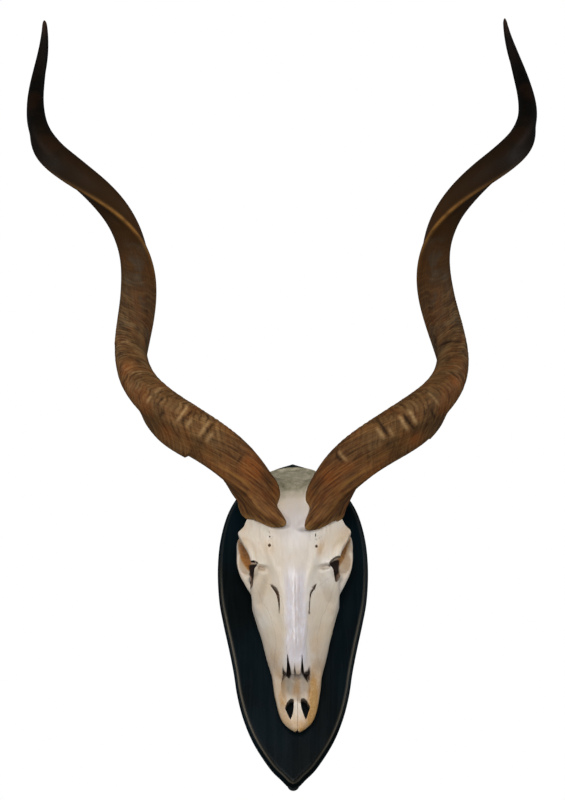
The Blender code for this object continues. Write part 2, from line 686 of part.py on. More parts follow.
# Screws
def screw_loops(height, length, grow):
    """A countersunk screw along -Y from the shield's back, as loops round its axis."""
    back = -0.3 * MM + (1 * MM if grow else 0)
    head = SCREW_HEAD_RADIUS + grow
    shank = SCREW_RADIUS + grow
    neck = -0.3 * MM - SCREW_HEAD_DEPTH
    end = -length * MM - grow
    profile = [(head, back), (head, -0.7 * MM), (shank, neck), (shank, end + 4 * MM), (0.3 * MM + grow, end)]
    loops = []
    for radius, y in profile:
        ring = []
        for k in range(SCREW_SIDES):
            a = 2 * math.pi * k / SCREW_SIDES
            ring.append(Vector((radius * math.cos(a), y, height * MM + radius * math.sin(a))))
        loops.append(ring)
    return loops


def build_screw(name, height, length, mat):
    bm = bmesh.new()
    add_loops(bm, screw_loops(height, length, 0.0))
    screw = add_object(name, bm, mat)
    bm = bmesh.new()
    size = Matrix.Diagonal((2 * SCREW_HEAD_RADIUS + MM, 2 * SCREW_SLOT_DEPTH, SCREW_SLOT_WIDTH, 1))
    bmesh.ops.create_cube(bm, size=1.0, matrix=Matrix.Translation((0, 0, height * MM)) @ size)
    cut(screw, add_object(name + "_slot_guide", bm, smooth=False))
    bm = bmesh.new()
    add_loops(bm, screw_loops(height, length, FIT_GAP))
    return screw, add_object(name + "_hole_guide", bm)


def build():
    for obj in list(bpy.data.objects):
        bpy.data.objects.remove(obj)
    ebonised = material("ebonised_wood", (0.012, 0.013, 0.014), 0.35)
    bone = material("bone", (0.72, 0.63, 0.50), 0.5)
    horn_brown = material("horn", (0.14, 0.075, 0.035), 0.55)
    enamel = material("enamel", (0.62, 0.53, 0.38), 0.4)
    steel = material("steel", (0.5, 0.5, 0.5), 0.35, 1.0)

    plaque = build_plaque(ebonised)
    frame = Matrix.Translation((SKULL_SHIFT, -PLAQUE_THICKNESS, 0)) @ Matrix.Rotation(SKULL_TURN, 4, "Y")
    skull_frame = bpy.data.objects.new("skull_frame", None)
    bpy.context.collection.objects.link(skull_frame)
    skull_frame.matrix_world = frame

    horns = {"horn_left": HORN_LEFT, "horn_right": HORN_RIGHT}
    for name, horn in horns.items():
        build_horn(name, horn, horn_brown)
    tooth_guides = []
    for side, tag in ((-1, "left"), (1, "right")):
        build_teeth("cheek_teeth_" + tag, side, enamel, skull_frame)
        tooth_guides.append(teeth_socket("teeth_groove_%s_guide" % tag, side, skull_frame))
    screw_guides = []
    for name, (height, length) in SCREW_HEIGHTS.items():
        _, guide = build_screw(name, height, length, steel)
        cut(plaque, guide)
        screw_guides.append(guide)
    build_skull(bone, skull_frame, frame, horns, tooth_guides, screw_guides)


build()
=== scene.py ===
"""Looks of the kudu skull and horns on a moulded wall shield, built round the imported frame.

Metres, +Z up the wall, the viewer stands at -Y. "Left" and "right" are the viewer's.
"""
import math

import bmesh
import bpy
import numpy as np
from mathutils import Matrix, Vector


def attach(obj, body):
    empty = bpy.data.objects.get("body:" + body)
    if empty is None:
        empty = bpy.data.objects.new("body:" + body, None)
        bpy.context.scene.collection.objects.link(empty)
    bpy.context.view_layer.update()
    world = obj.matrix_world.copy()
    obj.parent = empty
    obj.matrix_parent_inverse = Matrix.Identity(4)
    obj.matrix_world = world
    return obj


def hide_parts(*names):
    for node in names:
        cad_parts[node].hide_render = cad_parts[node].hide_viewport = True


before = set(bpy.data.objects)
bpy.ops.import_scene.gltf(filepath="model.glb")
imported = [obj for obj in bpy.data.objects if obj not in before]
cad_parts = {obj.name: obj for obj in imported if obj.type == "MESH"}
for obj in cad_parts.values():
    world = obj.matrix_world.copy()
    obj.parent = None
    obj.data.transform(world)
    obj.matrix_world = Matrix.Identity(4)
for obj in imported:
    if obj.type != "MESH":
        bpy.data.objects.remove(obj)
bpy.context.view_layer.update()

MM = 0.001

# Shield: half outline from the top peak down to the tip, half width and height in millimetres
PLAQUE_THICKNESS = 22 * MM
PLAQUE_OUTLINE = [
    (0, 256), (29, 246), (59, 228), (83, 205), (101, 173), (112, 130), (115.5, 84), (113, 36),
    (106, -2), (97.5, -40), (90, -77), (84, -114), (74, -151), (58.5, -187), (35, -223), (17.5, -241),
    (8.5, -250), (0, -254),
]
PLAQUE_SPLINE_STEPS = 10
EDGE_HEIGHT = 10 * MM
LEDGE_HEIGHT = 13.5 * MM
LEDGE_WIDTH = 3.2 * MM
BEAD_WIDTH = 6 * MM
BEAD_STEPS = 10
# Painted highlight line on the bead, and the angle above which an edge is drawn sharp
BEAD_HIGHLIGHT_HEIGHT = LEDGE_HEIGHT + 6 * MM
BEAD_HIGHLIGHT_WIDTH = 1.4 * MM
PLAQUE_CREASE = math.radians(32)
NUB_RADIUS = 9 * MM
NUB_BOTTOM = -256 * MM

# Skull frame: its middle plane stands beside the shield's and leans a little
SKULL_SHIFT = 3.7 * MM
SKULL_TURN = math.radians(-1.0)
SKULL_FRAME = Matrix.Translation((SKULL_SHIFT, -PLAQUE_THICKNESS, 0)) @ Matrix.Rotation(SKULL_TURN, 4, "Y")

# Skull body, in millimetres, from nose to nape: height up the wall, then distances from the shield's
# face (top and palate) and half width with distance for the ridge, the side wall and the lower wall
SKULL_STATIONS = [
    (-110, 60, 10, 56, 33, 42, 29, 13, 9),
    (-100, 80, 12, 76, 35, 44, 30, 13, 8),
    (-72, 95, 14, 90, 43, 47, 35, 12, 8),
    (-45, 104, 17, 97, 49.5, 52, 40, 12, 9),
    (-10, 114, 22, 106, 60, 60, 47, 14, 10),
    (8, 119, 24, 111, 64, 66, 50, 16, 12),
    (33, 125, 30, 118, 63, 74, 48, 18, 14),
    (55, 129, 38, 124, 52, 84, 42, 24, 16),
    (80, 133, 46, 128, 46, 90, 36, 28, 18),
    (105, 137, 50, 130, 48, 90, 36, 30, 20),
    (130, 137, 46, 128, 48, 84, 38, 32, 22),
    (160, 128, 40, 117, 46, 78, 40, 34, 22),
    (185, 112, 36, 102, 45, 68, 38, 32, 20),
    (203, 93, 38, 87, 44, 62, 34, 32, 22),
    (214, 77, 33, 73, 37, 54, 24, 38, 32),
]
# Premaxillae in front of the nose opening, given in the same way
MUZZLE_STATIONS = [
    (-92, 60, 24, 62, 37, 46, 31, 14, 10),
    (-125, 46, 22, 49, 33, 36, 28, 12, 10),
    (-150, 38, 17, 39, 27.5, 30, 23, 13, 12),
    (-165, 34, 13, 34, 21, 27, 17, 17, 15),
    (-174, 31, 8, 31, 12, 25, 9, 20, 18),
    (-179, 28, 3, 28, 4, 25, 3, 22, 21),
]
LOFT_STEPS = 8
# Edge of the bony roof over the eye: half width and height along the wall, in millimetres
BROW_OUTLINE = [
    (0, 150), (52, 142), (68, 124), (76, 108), (84, 100), (80, 90), (72, 72), (64, 57), (53, 51),
    (40, 48), (20, 40), (0, 36),
]
BROW_LOW = (36, 122)
BROW_HIGH = (100, 133)
BROW_THICKNESS = 15 * MM
BROW_DROP = 9
EYE_CENTRE = (70.5, 66, 96)
EYE_RING_RADIUS = 30 * MM
EYE_RING_THICKNESS = 5.5 * MM
EYE_LEAN = math.radians(18.7)
EYE_LIFT = math.radians(13)
EYE_HOLLOW = (25, 25, 34)
# Openings of the face as outlines of (sideways, up) millimetres; the two sides differ a little
NASAL_SLITS = [
    [(-14.3, -78.5), (-13.3, -78.5), (-11.4, -88), (-9.3, -99), (-9.0, -116), (-15.6, -116), (-15.8, -104),
     (-15.6, -99), (-14.8, -88)],
    [(7.0, -80), (7.9, -80), (9.0, -90), (10.0, -99), (10.4, -116), (5.2, -116), (5.4, -99), (6.2, -90)],
    [(-4.8, -116), (-4.0, -93.5), (-3.0, -93.5), (-0.8, -116)],
]
NASAL_CORNERS = [
    [(-20.9, -94.5), (-20.1, -95.5), (-19.0, -102), (-16.4, -104.5), (-9, -104.5), (-9, -118), (-20.2, -118),
     (-21.2, -104)],
    [(17.6, -97.5), (18.6, -98.5), (19, -106), (18.2, -118), (5, -118), (5, -104.5), (10, -104.5),
     (13.8, -104.5), (16.2, -101.5)],
]
PALATE_HOLES = [
    [(-8, -130.8), (-5.7, -133), (-5.4, -142), (-7.2, -153), (-10.2, -161.2), (-12, -160.4), (-15.6, -152.4),
     (-18.3, -145.5), (-15.5, -138), (-11.5, -132)],
    [(5.1, -132.5), (7.4, -130.4), (10.7, -131.2), (15, -138), (18.4, -144.8), (16, -152), (12.8, -160.6),
     (10.8, -160.6), (6.9, -150), (5.0, -142)],
]
CHEEK_SLITS = [
    [(-36.8, 21.4), (-33, 20.2), (-27.4, 14.6), (-24.6, 7.5), (-23.8, -4), (-24.6, -17), (-25.4, -17),
     (-26, -6), (-28, 5), (-31.8, 13), (-35.6, 19)],
    [(30.2, 21), (27.4, 20), (24.4, 15), (21.4, 9), (20.2, 0), (19.2, -17), (19.9, -17), (21.3, 0), (23.6, 9),
     (28, 15.5)],
]
EYE_CORNERS = [
    [(-68, 54), (-55, 54), (-57.5, 48), (-60.5, 43), (-63.5, 26), (-66, 27), (-66.5, 38), (-68, 46)],
    [(50, 53), (65, 60), (66, 50), (64.5, 36), (60, 28), (57.5, 34), (55.5, 42)],
]
# Small holes of the brow: sideways, up, half width and half height
BROW_HOLES = [
    (-37.5, 76.6, 2.4, 2.7), (-36.8, 89.5, 1.2, 1.6), (-37.6, 96, 0.8, 0.9), (31.5, 74, 2.1, 2.6),
    (30.6, 90.5, 1.2, 3.0), (31.2, 84, 0.7, 1.4),
]
BROW_HOLE_OUTLINES = [
    [(x + across * math.cos(a), z + high * math.sin(a)) for a in (0.2 * math.pi * k for k in range(10))]
    for x, z, across, high in BROW_HOLES
]
# Places seen from the front, painted as shade: near-black under the nasals and darker orange in the eye
# sockets. Outlines at a distance from the shield, and how orange
UNDER_NASALS = [
    [(-15, -108), (-8.6, -109), (-9.6, -115.9), (-12.2, -119.1), (-15.8, -114.8), (-20.3, -110)],
    [(7.0, -108), (8.7, -114.8), (15.2, -124.5), (16.2, -123), (15.4, -118), (19, -109)],
]
UNDER_DEPTH = 85
EYE_LENSES = [
    [(-86, 117), (-79, 104), (-74.5, 90.2), (-68, 72.4), (-63.5, 62.6), (-66, 58.1), (-68, 45.7),
     (-77.3, 58.1), (-82.4, 72.4), (-85, 90.2)],
    [(85, 112), (77, 98), (70, 84), (66, 66), (64, 50), (70, 56), (77, 72), (82, 88)],
]
EYE_LENS_STRENGTH = (1.0, 0.65)
EYE_LENS_DEPTH = 100
# Rise of the viewer's line of sight for each millimetre into the skull
SIGHT_RISE = 0.404
# Notch between the two bones at the tip of the muzzle
TIP_NOTCH = [(-3.4, -182), (-2.2, -177.6), (-1.0, -175), (0.2, -177.6), (1.4, -182)]
NOSE_TUNNEL = ((-1.5, -86, 56), (20, 44, 19))
NOSE_TROUGHS = [((-10.5, -121, 55), (13.5, 27, 21)), ((6.5, -121, 55), (13.5, 27, 21))]
# Openings of the face, with the distances from the shield between which they are cut
OPENINGS = [
    (NASAL_SLITS, 62, 140), (NASAL_CORNERS, 50, 140), (PALATE_HOLES, -5, 60), (CHEEK_SLITS, 84, 140),
    (EYE_CORNERS, 78, 140), (BROW_HOLE_OUTLINES, 118, 150), ([TIP_NOTCH], -5, 60),
]
# Seams between the bones, from the nose upward
SIDE_SEAM = [(15.5, -98), (15, -60), (18.5, -22), (21, 0), (27, 10), (33, 19), (46, 30), (58, 40)]
CROSS_SEAM = [(31, -112), (33, -80), (30, -50), (38, -20), (52, 8), (60, 30)]
# How far the front of the face stands to the left of the skull's middle plane
FACE_SHIFT = 3.2
SKULL_VOXEL = 1.7 * MM
SKULL_SOFTEN = 12
SKIN_VOXEL = 1.25 * MM
SKIN_SOFTEN = 2
SKULL_TRIANGLES = 180000
SKULL_CREASE = math.radians(58)

# Horn path: a spiral about a leaning, slightly bowed line. Each horn grew a little differently
HORN_LEAN = math.radians(13)
HORN_LEFT = dict(
    side=-1, start=(86 * MM, -155 * MM, 127 * MM), splay=math.radians(23.0), bow=0.110, length=822 * MM,
    coil_base=41 * MM, coil_tip=32 * MM, phase=math.radians(-207), turns=1.977,
    lobe=16.5 * MM, waist=2.5 * MM, rim_lift=0.006, rim_lift_angle=math.radians(35), hollow=5 * MM,
    keel_break=0.148, keel_loss=0.36, seed=11, tone=1.0, knob=6 * MM,
    # Single wrinkles: place along the horn, angles they run between, half width, height (below 0: a groove)
    streaks=[
        (0.185, -2.69, -1.47, 1.3, 1.0), (0.170, -1.92, -1.40, 2.0, 0.7), (0.150, -2.23, -1.19, 1.8, 0.8),
        (0.138, -1.64, -1.10, 2.0, 0.7), (0.234, -2.30, -1.82, 1.6, 0.7), (0.234, -3.07, -2.50, 1.4, 0.6),
        (0.354, 2.50, 3.11, 1.4, 0.6), (0.177, -2.41, -1.60, 1.4, -0.8), (0.1445, -2.27, -1.19, 1.3, -0.9),
        (0.206, -1.75, -1.40, 1.8, -0.9), (0.090, -1.43, -0.77, 1.3, -0.7), (0.218, -2.9, -1.9, 1.2, -0.6),
    ],
    warm=[(0.076, -1.54, -0.70), (0.190, -0.91, -0.45), (0.062, -1.2, -0.5), (0.30, -3.0, -2.4)],
)
HORN_RIGHT = dict(
    side=1, start=(91 * MM, -156 * MM, 123 * MM), splay=math.radians(18.8), bow=0.142, length=810 * MM,
    coil_base=48 * MM, coil_tip=37 * MM, phase=math.radians(-204), turns=1.946,
    lobe=15 * MM, waist=4 * MM, rim_lift=0.010, rim_lift_angle=math.radians(25), hollow=0.0,
    keel_break=0.205, keel_loss=0.14, seed=23, tone=0.84, knob=2.5 * MM,
    streaks=[
        (0.175, -2.09, -1.19, 2.0, 1.1), (0.190, -2.23, -1.33, 2.0, 1.1), (0.1455, -1.95, -1.22, 2.2, 0.9),
        (0.157, -1.71, -1.19, 1.5, 0.6), (0.092, -1.75, -1.05, 1.8, 0.8), (0.1515, -2.34, -1.26, 1.2, -1.2),
        (0.1825, -2.13, -0.98, 1.3, -1.1), (0.215, -1.82, -1.05, 1.5, -0.9), (0.087, -1.85, -1.08, 1.3, -0.9),
        (0.353, 1.57, 2.97, 0.7, -1.4), (0.352, 1.60, 2.20, 1.0, -1.4), (0.228, -2.8, -1.7, 1.6, 0.5),
    ],
    warm=[(0.182, -0.70, -0.31), (0.088, -0.98, -0.63), (0.06, -1.3, -0.5), (0.27, -2.6, -2.0)],
)
HORN_RADIUS = [
    (0.0, 35.3), (0.06, 32.0), (0.13, 29.2), (0.22, 28.4), (0.35, 23.5), (0.5, 21.5), (0.65, 20.7),
    (0.8, 15.4), (0.92, 10.0), (1.0, 2.0),
]
KEEL_HEIGHT = 0.48
KEEL_HALF_ANGLE = 0.42
# The keel is highest just above its break
KEEL_STEP = 0.0015
KEEL_SWELL = 0.26
KEEL_SWELL_PLACE = 0.252
KEEL_SWELL_LENGTH = 0.024
KEEL_LEAD_BASE = math.radians(110)
KEEL_LEAD_TIP = math.radians(34)
# The foot of the sheath: a lobe toward the middle, a waist beside it and a taper on the outer side
LOBE_ANGLE = math.radians(-12)
LOBE_HALF_ANGLE = 0.28
LOBE_LENGTH = 20 * MM
WAIST_ANGLE = math.radians(-44)
TAPER = 7 * MM
TAPER_ANGLE = math.radians(95)
TAPER_HALF_ANGLE = 0.75
TAPER_LENGTH = 30 * MM
# Deepest place of the outer side's further hollow above the rim, and its half length
HOLLOW_PLACE = 18 * MM
HOLLOW_LENGTH = 14 * MM
# Swelling of the inner side above the rim
KNOB_ANGLE = -1.2
KNOB_PLACE = 5 * MM
KNOB_LENGTH = 9 * MM
RIM_LIFT = 0.010
RIM_LIFT_HALF_ANGLE = 0.45
BASE_PLANE = np.array((0.254, -0.939, 0.233))
BASE_SINK = 2 * MM
SEAT_GAP = 0.5 * MM
HORN_RINGS = 620
HORN_SIDES = 72
SEAT_RINGS = 12
SEAT_REACH = 0.07
PEDICEL_SCALE = 0.93
PEDICEL_DEPTH = 34 * MM
PEDICEL_RISE = 4 * MM
# Distance between growth wrinkles near the base and higher up
WRINKLE_SPACING = (8 * MM, 4.5 * MM)
WRINKLE_HEIGHT = 1.1 * MM
WRINKLE_ENDS = (0.03, 0.10, 0.38, 0.52)
STREAK_HEIGHT = 0.7 * MM
FLUTE_HEIGHT = 0.55 * MM
WAVE_HEIGHT = 0.5 * MM
RIM_TEAR = 1.2 * MM
# Length along a horn's curve for each length of its middle line, and where the tip starts to round off
CURVE_STRETCH = 1.13
TIP_START = 0.992
TIP_LENGTH = 0.008

# Upper cheek teeth: length of each crown along the jaw, in millimetres, front to back
CROWN_LENGTHS = [11, 13, 14, 17, 20, 19]
TEETH_START = (25, -56)
TEETH_END = (38, 41)
CROWN_WIDTH = 15 * MM
CROWN_TOP = 13 * MM
ROOT_WIDTH = 10 * MM
ROOT_TOP = 19 * MM
FIT_GAP = 0.3 * MM

SCREW_HEIGHTS = {"fixing_screw_lower": (-25, 42), "fixing_screw_upper": (150, 54)}
SCREW_RADIUS = 2 * MM
SCREW_HEAD_RADIUS = 4.2 * MM
SCREW_HEAD_DEPTH = 3 * MM

# Camera: stands below the trophy and looks up
CAMERA_PLACE = (-0.016, -3.1, -0.884)
CAMERA_PITCH = math.radians(22)
CAMERA_LENS = 94.5


# Helpers
def spline(points, steps, closed=False):
    """Smooth curve through the points, as a Catmull-Rom curve with the given steps between them."""
    pts = np.array(points, dtype=float)
    count = len(pts)
    spans = count if closed else count - 1
    rows = []
    for i in range(spans):
        if closed:
            a, b, c, d = (pts[(i + k) % count] for k in (-1, 0, 1, 2))
        else:
            b, c = pts[i], pts[i + 1]
            a = pts[i - 1] if i > 0 else 2 * b - c
            d = pts[i + 2] if i + 2 < count else 2 * c - b
        for j in range(steps):
            t = j / steps
            rows.append(0.5 * (2 * b + (c - a) * t + (2 * a - 5 * b + 4 * c - d) * t ** 2
                               + (3 * b - a - 3 * c + d) * t ** 3))
    if not closed:
        rows.append(pts[-1])
    return np.array(rows)


def unit(v):
    return v / np.linalg.norm(v, axis=-1, keepdims=True)


def smoothstep(low, high, x):
    t = np.clip((np.asarray(x, dtype=float) - low) / (high - low), 0, 1)
    return t * t * (3 - 2 * t)


def bell(x, middle, width):
    return np.exp(-((x - middle) / width) ** 2)


def band(x, low, rise, fall, high):
    """1 between rise and fall, and 0 below low and above high."""
    return smoothstep(low, rise, x) * (1 - smoothstep(fall, high, x))


def lattice(ix, iy, iz, seed):
    """A steady pseudo-random number between -1 and 1 for each whole lattice point."""
    n = (ix * 374761393 + iy * 668265263 + iz * 1440662683 + seed * 974634777) & 0xFFFFFFFF
    n = ((n ^ (n >> 13)) * 1274126177) & 0xFFFFFFFF
    n = ((n ^ (n >> 16)) * 2246822519) & 0xFFFFFFFF
    return ((n ^ (n >> 15)) & 0xFFFF) / 32767.5 - 1.0


def noise(x, y, z, seed=0):
    """Smooth value noise between -1 and 1."""
    x, y, z = np.broadcast_arrays(*(np.asarray(v, dtype=float) for v in (x, y, z)))
    ix, iy, iz = (np.floor(v).astype(np.int64) for v in (x, y, z))
    fx, fy, fz = (smoothstep(0, 1, v - np.floor(v)) for v in (x, y, z))
    total = 0.0
    for dx in (0, 1):
        for dy in (0, 1):
            for dz in (0, 1):
                weight = (fx if dx else 1 - fx) * (fy if dy else 1 - fy) * (fz if dz else 1 - fz)
                total = total + weight * lattice(ix + dx, iy + dy, iz + dz, seed)
    return total


def add_object(name, mesh, mat=None):
    obj = bpy.data.objects.new(name, mesh)
    bpy.context.scene.collection.objects.link(obj)
    if mat:
        mesh.materials.clear()
        mesh.materials.append(mat)
        mesh.polygons.foreach_set("material_index", np.zeros(len(mesh.polygons), dtype=np.int32))
    mesh.shade_smooth()
    return obj


def mesh_from_bmesh(name, bm):
    bmesh.ops.recalc_face_normals(bm, faces=bm.faces)
    mesh = bpy.data.meshes.new(name)
    bm.to_mesh(mesh)
    bm.free()
    return mesh


def object_from_bmesh(name, bm, mat=None):
    return add_object(name, mesh_from_bmesh(name, bm), mat)


def circle(count):
    return [2 * math.pi * k / count for k in range(count)]


def add_loops(bm, loops):
    """Skins a tube through loops of points and closes both ends with fans."""
    rings = [[bm.verts.new(p) for p in loop] for loop in loops]
    count = len(rings[0])
    for a, b in zip(rings, rings[1:]):
        for i in range(count):
            j = (i + 1) % count
            bm.faces.new((a[i], a[j], b[j], b[i]))
    for ring, turn in ((rings[0], True), (rings[-1], False)):
        middle = bm.verts.new(sum((v.co for v in ring), Vector()) / count)
        for i in range(count):
            a, b = ring[i], ring[(i + 1) % count]
            bm.faces.new((b, a, middle) if turn else (a, b, middle))


def grid_mesh(name, rings):
    """A closed tube from an array of rings, each end closed with a fan."""
    rows, sides, _ = rings.shape
    points = np.concatenate([rings.reshape(-1, 3), rings[:1].mean(1), rings[-1:].mean(1)])
    first = np.arange(rows - 1)[:, None] * sides
    i = np.arange(sides)[None, :]
    j = (i + 1) % sides
    quads = np.stack([first + i, first + j, first + sides + j, first + sides + i], -1).reshape(-1, 4)
    faces = quads.tolist()
    last = (rows - 1) * sides
    base_mid, tip_mid = rows * sides, rows * sides + 1
    faces += [(int(b), int(a), base_mid) for a, b in zip(i[0], j[0])]
    faces += [(int(last + a), int(last + b), tip_mid) for a, b in zip(i[0], j[0])]
    mesh = bpy.data.meshes.new(name)
    mesh.from_pydata(points.tolist(), [], faces)
    bm = bmesh.new()
    bm.from_mesh(mesh)
    return mesh_from_bmesh(name, bm)


def modify(obj, kind, **settings):
    mod = obj.modifiers.new(kind.lower(), kind)
    for name, value in settings.items():
        setattr(mod, name, value)


def cut(target, cutter, solver="EXACT"):
    modify(target, "BOOLEAN", operation="DIFFERENCE", solver=solver, object=cutter)


def fuse(obj, voxel, rounds):
    """Fuses the object's closed forms into one skin and softens it."""
    modify(obj, "REMESH", mode="VOXEL", voxel_size=voxel)
    modify(obj, "SMOOTH", factor=0.5, iterations=rounds)


def baked(obj):
    """The object's mesh with its modifiers applied."""
    bpy.context.view_layer.update()
    depsgraph = bpy.context.evaluated_depsgraph_get()
    return bpy.data.meshes.new_from_object(obj.evaluated_get(depsgraph))


def discard(*objects):
    for obj in objects:
        bpy.data.objects.remove(obj)


def three_columns(items, name):
    data = np.empty(len(items) * 3)
    items.foreach_get(name, data)
    return data.reshape(-1, 3)


def vertex_array(mesh):
    return three_columns(mesh.vertices, "co")


def set_vertices(mesh, points):
    mesh.vertices.foreach_set("co", np.ascontiguousarray(points, dtype=float).ravel())
    mesh.update()


def normal_array(mesh):
    return three_columns(mesh.vertex_normals, "vector")


def add_value(mesh, name, values):
    """A number at each vertex, read by the materials."""
    layer = mesh.attributes.new(name, "FLOAT", "POINT")
    layer.data.foreach_set("value", np.ascontiguousarray(values, dtype=np.float32))


def add_share(mesh, name, values):
    add_value(mesh, name, np.clip(values, 0, 1))


def add_vector(mesh, name, values):
    layer = mesh.attributes.new(name, "FLOAT_VECTOR", "POINT")
    layer.data.foreach_set("vector", np.ascontiguousarray(values, dtype=np.float32).ravel())


def neighbour_mean(mesh, values, rounds):
    """Values averaged over the mesh's edges, again and again."""
    edges = np.empty(len(mesh.edges) * 2, dtype=np.int64)
    mesh.edges.foreach_get("vertices", edges)
    a, b = edges.reshape(-1, 2).T
    count = len(mesh.vertices)
    degree = np.bincount(a, minlength=count) + np.bincount(b, minlength=count)
    values = values.reshape(count, -1).astype(float)
    for _ in range(rounds):
        total = np.empty_like(values)
        for k in range(values.shape[1]):
            total[:, k] = np.bincount(a, values[b, k], count) + np.bincount(b, values[a, k], count)
        values = 0.5 * values + 0.5 * total / degree[:, None]
    return values


# Node helpers
def srgb(r, g, b):
    """Linear colour from a screen colour of 0 to 255."""
    out = []
    for value in (r, g, b):
        c = value / 255
        out.append(c / 12.92 if c <= 0.04045 else ((c + 0.055) / 1.055) ** 2.4)
    return (*out, 1.0)


class Value:
    """A socket of a material's node tree. Sums, differences and products of values make math nodes."""

    def __init__(self, shading, socket):
        self.shading = shading
        self.socket = socket

    def __mul__(self, other):
        return self.shading.math("MULTIPLY", self, other)

    def __add__(self, other):
        return self.shading.math("ADD", self, other)

    def __sub__(self, other):
        return self.shading.math("SUBTRACT", self, other)


class Shading:
    """A small builder of node trees for one material, with the colour painted so far."""

    def __init__(self, name):
        self.material = bpy.data.materials.new(name)
        self.material.use_nodes = True
        self.tree = self.material.node_tree
        self.tree.nodes.clear()
        self.shader = self.tree.nodes.new("ShaderNodeBsdfPrincipled")
        output = self.tree.nodes.new("ShaderNodeOutputMaterial")
        self.tree.links.new(self.shader.outputs[0], output.inputs[0])
        self.colour = None

    def link(self, value, socket):
        if isinstance(value, Value):
            self.tree.links.new(value.socket, socket)
        else:
            socket.default_value = value

    def node(self, kind, inputs, output=0, **settings):
        """One output of a new node, whose inputs are given by name or number."""
        node = self.tree.nodes.new("ShaderNode" + kind)
        for name, value in settings.items():
            setattr(node, name, value)
        for name, value in inputs.items():
            self.link(value, node.inputs[name])
        return Value(self, node.outputs[output])

    def attribute(self, name, kind="Fac"):
        return self.node("Attribute", {}, kind, attribute_name=name)

    def place(self):
        return self.node("TexCoord", {}, "Object")

    def scaled(self, vector, scale):
        return self.node("Mapping", {"Vector": vector, "Scale": scale})

    def noise(self, vector, scale, detail=4.0, rough=0.55, distortion=0.0):
        return self.node("TexNoise", {"Vector": vector, "Scale": scale, "Detail": detail, "Roughness": rough,
                                      "Distortion": distortion}, "Fac")

    def cells(self, vector, scale):
        return self.node("TexVoronoi", {"Vector": vector, "Scale": scale}, "Distance")

    def math(self, kind, *values):
        return self.node("Math", dict(enumerate(values)), operation=kind)

    def span(self, value, low, high, start=0.0, end=1.0):
        """Start to end, smoothly, as the value goes from low to high."""
        return self.node("MapRange", {"Value": value, "From Min": low, "From Max": high, "To Min": start,
                                      "To Max": end}, "Result", interpolation_type="SMOOTHSTEP")

    def ramp(self, value, *stops):
        """Colours along the value, from stops of a place and a screen colour."""
        result = self.node("ValToRGB", {"Fac": value}, "Color")
        points = result.socket.node.color_ramp.elements
        while len(points) < len(stops):
            points.new(0.5)
        for point, (place, *colour) in zip(points, stops):
            point.position = place
            point.color = srgb(*colour)
        return result

    def paint(self, mask, colour, kind="MIX"):
        """Lays a screen colour or a colour value over what is painted so far."""
        over = colour if isinstance(colour, Value) else srgb(*colour)
        self.colour = self.node("Mix", {"Factor": mask, 6: self.colour, 7: over}, 2, data_type="RGBA",
                                blend_type=kind)

    def bump(self, height, distance, strength):
        return self.node("Bump", {"Strength": strength, "Distance": distance, "Height": height})

    def finish(self, roughness, normal=None, **plain):
        self.link(self.colour, self.shader.inputs["Base Color"])
        self.link(roughness, self.shader.inputs["Roughness"])
        if normal:
            self.link(normal, self.shader.inputs["Normal"])
        for name, value in plain.items():
            self.shader.inputs[name.replace("_", " ")].default_value = value
        return self.material


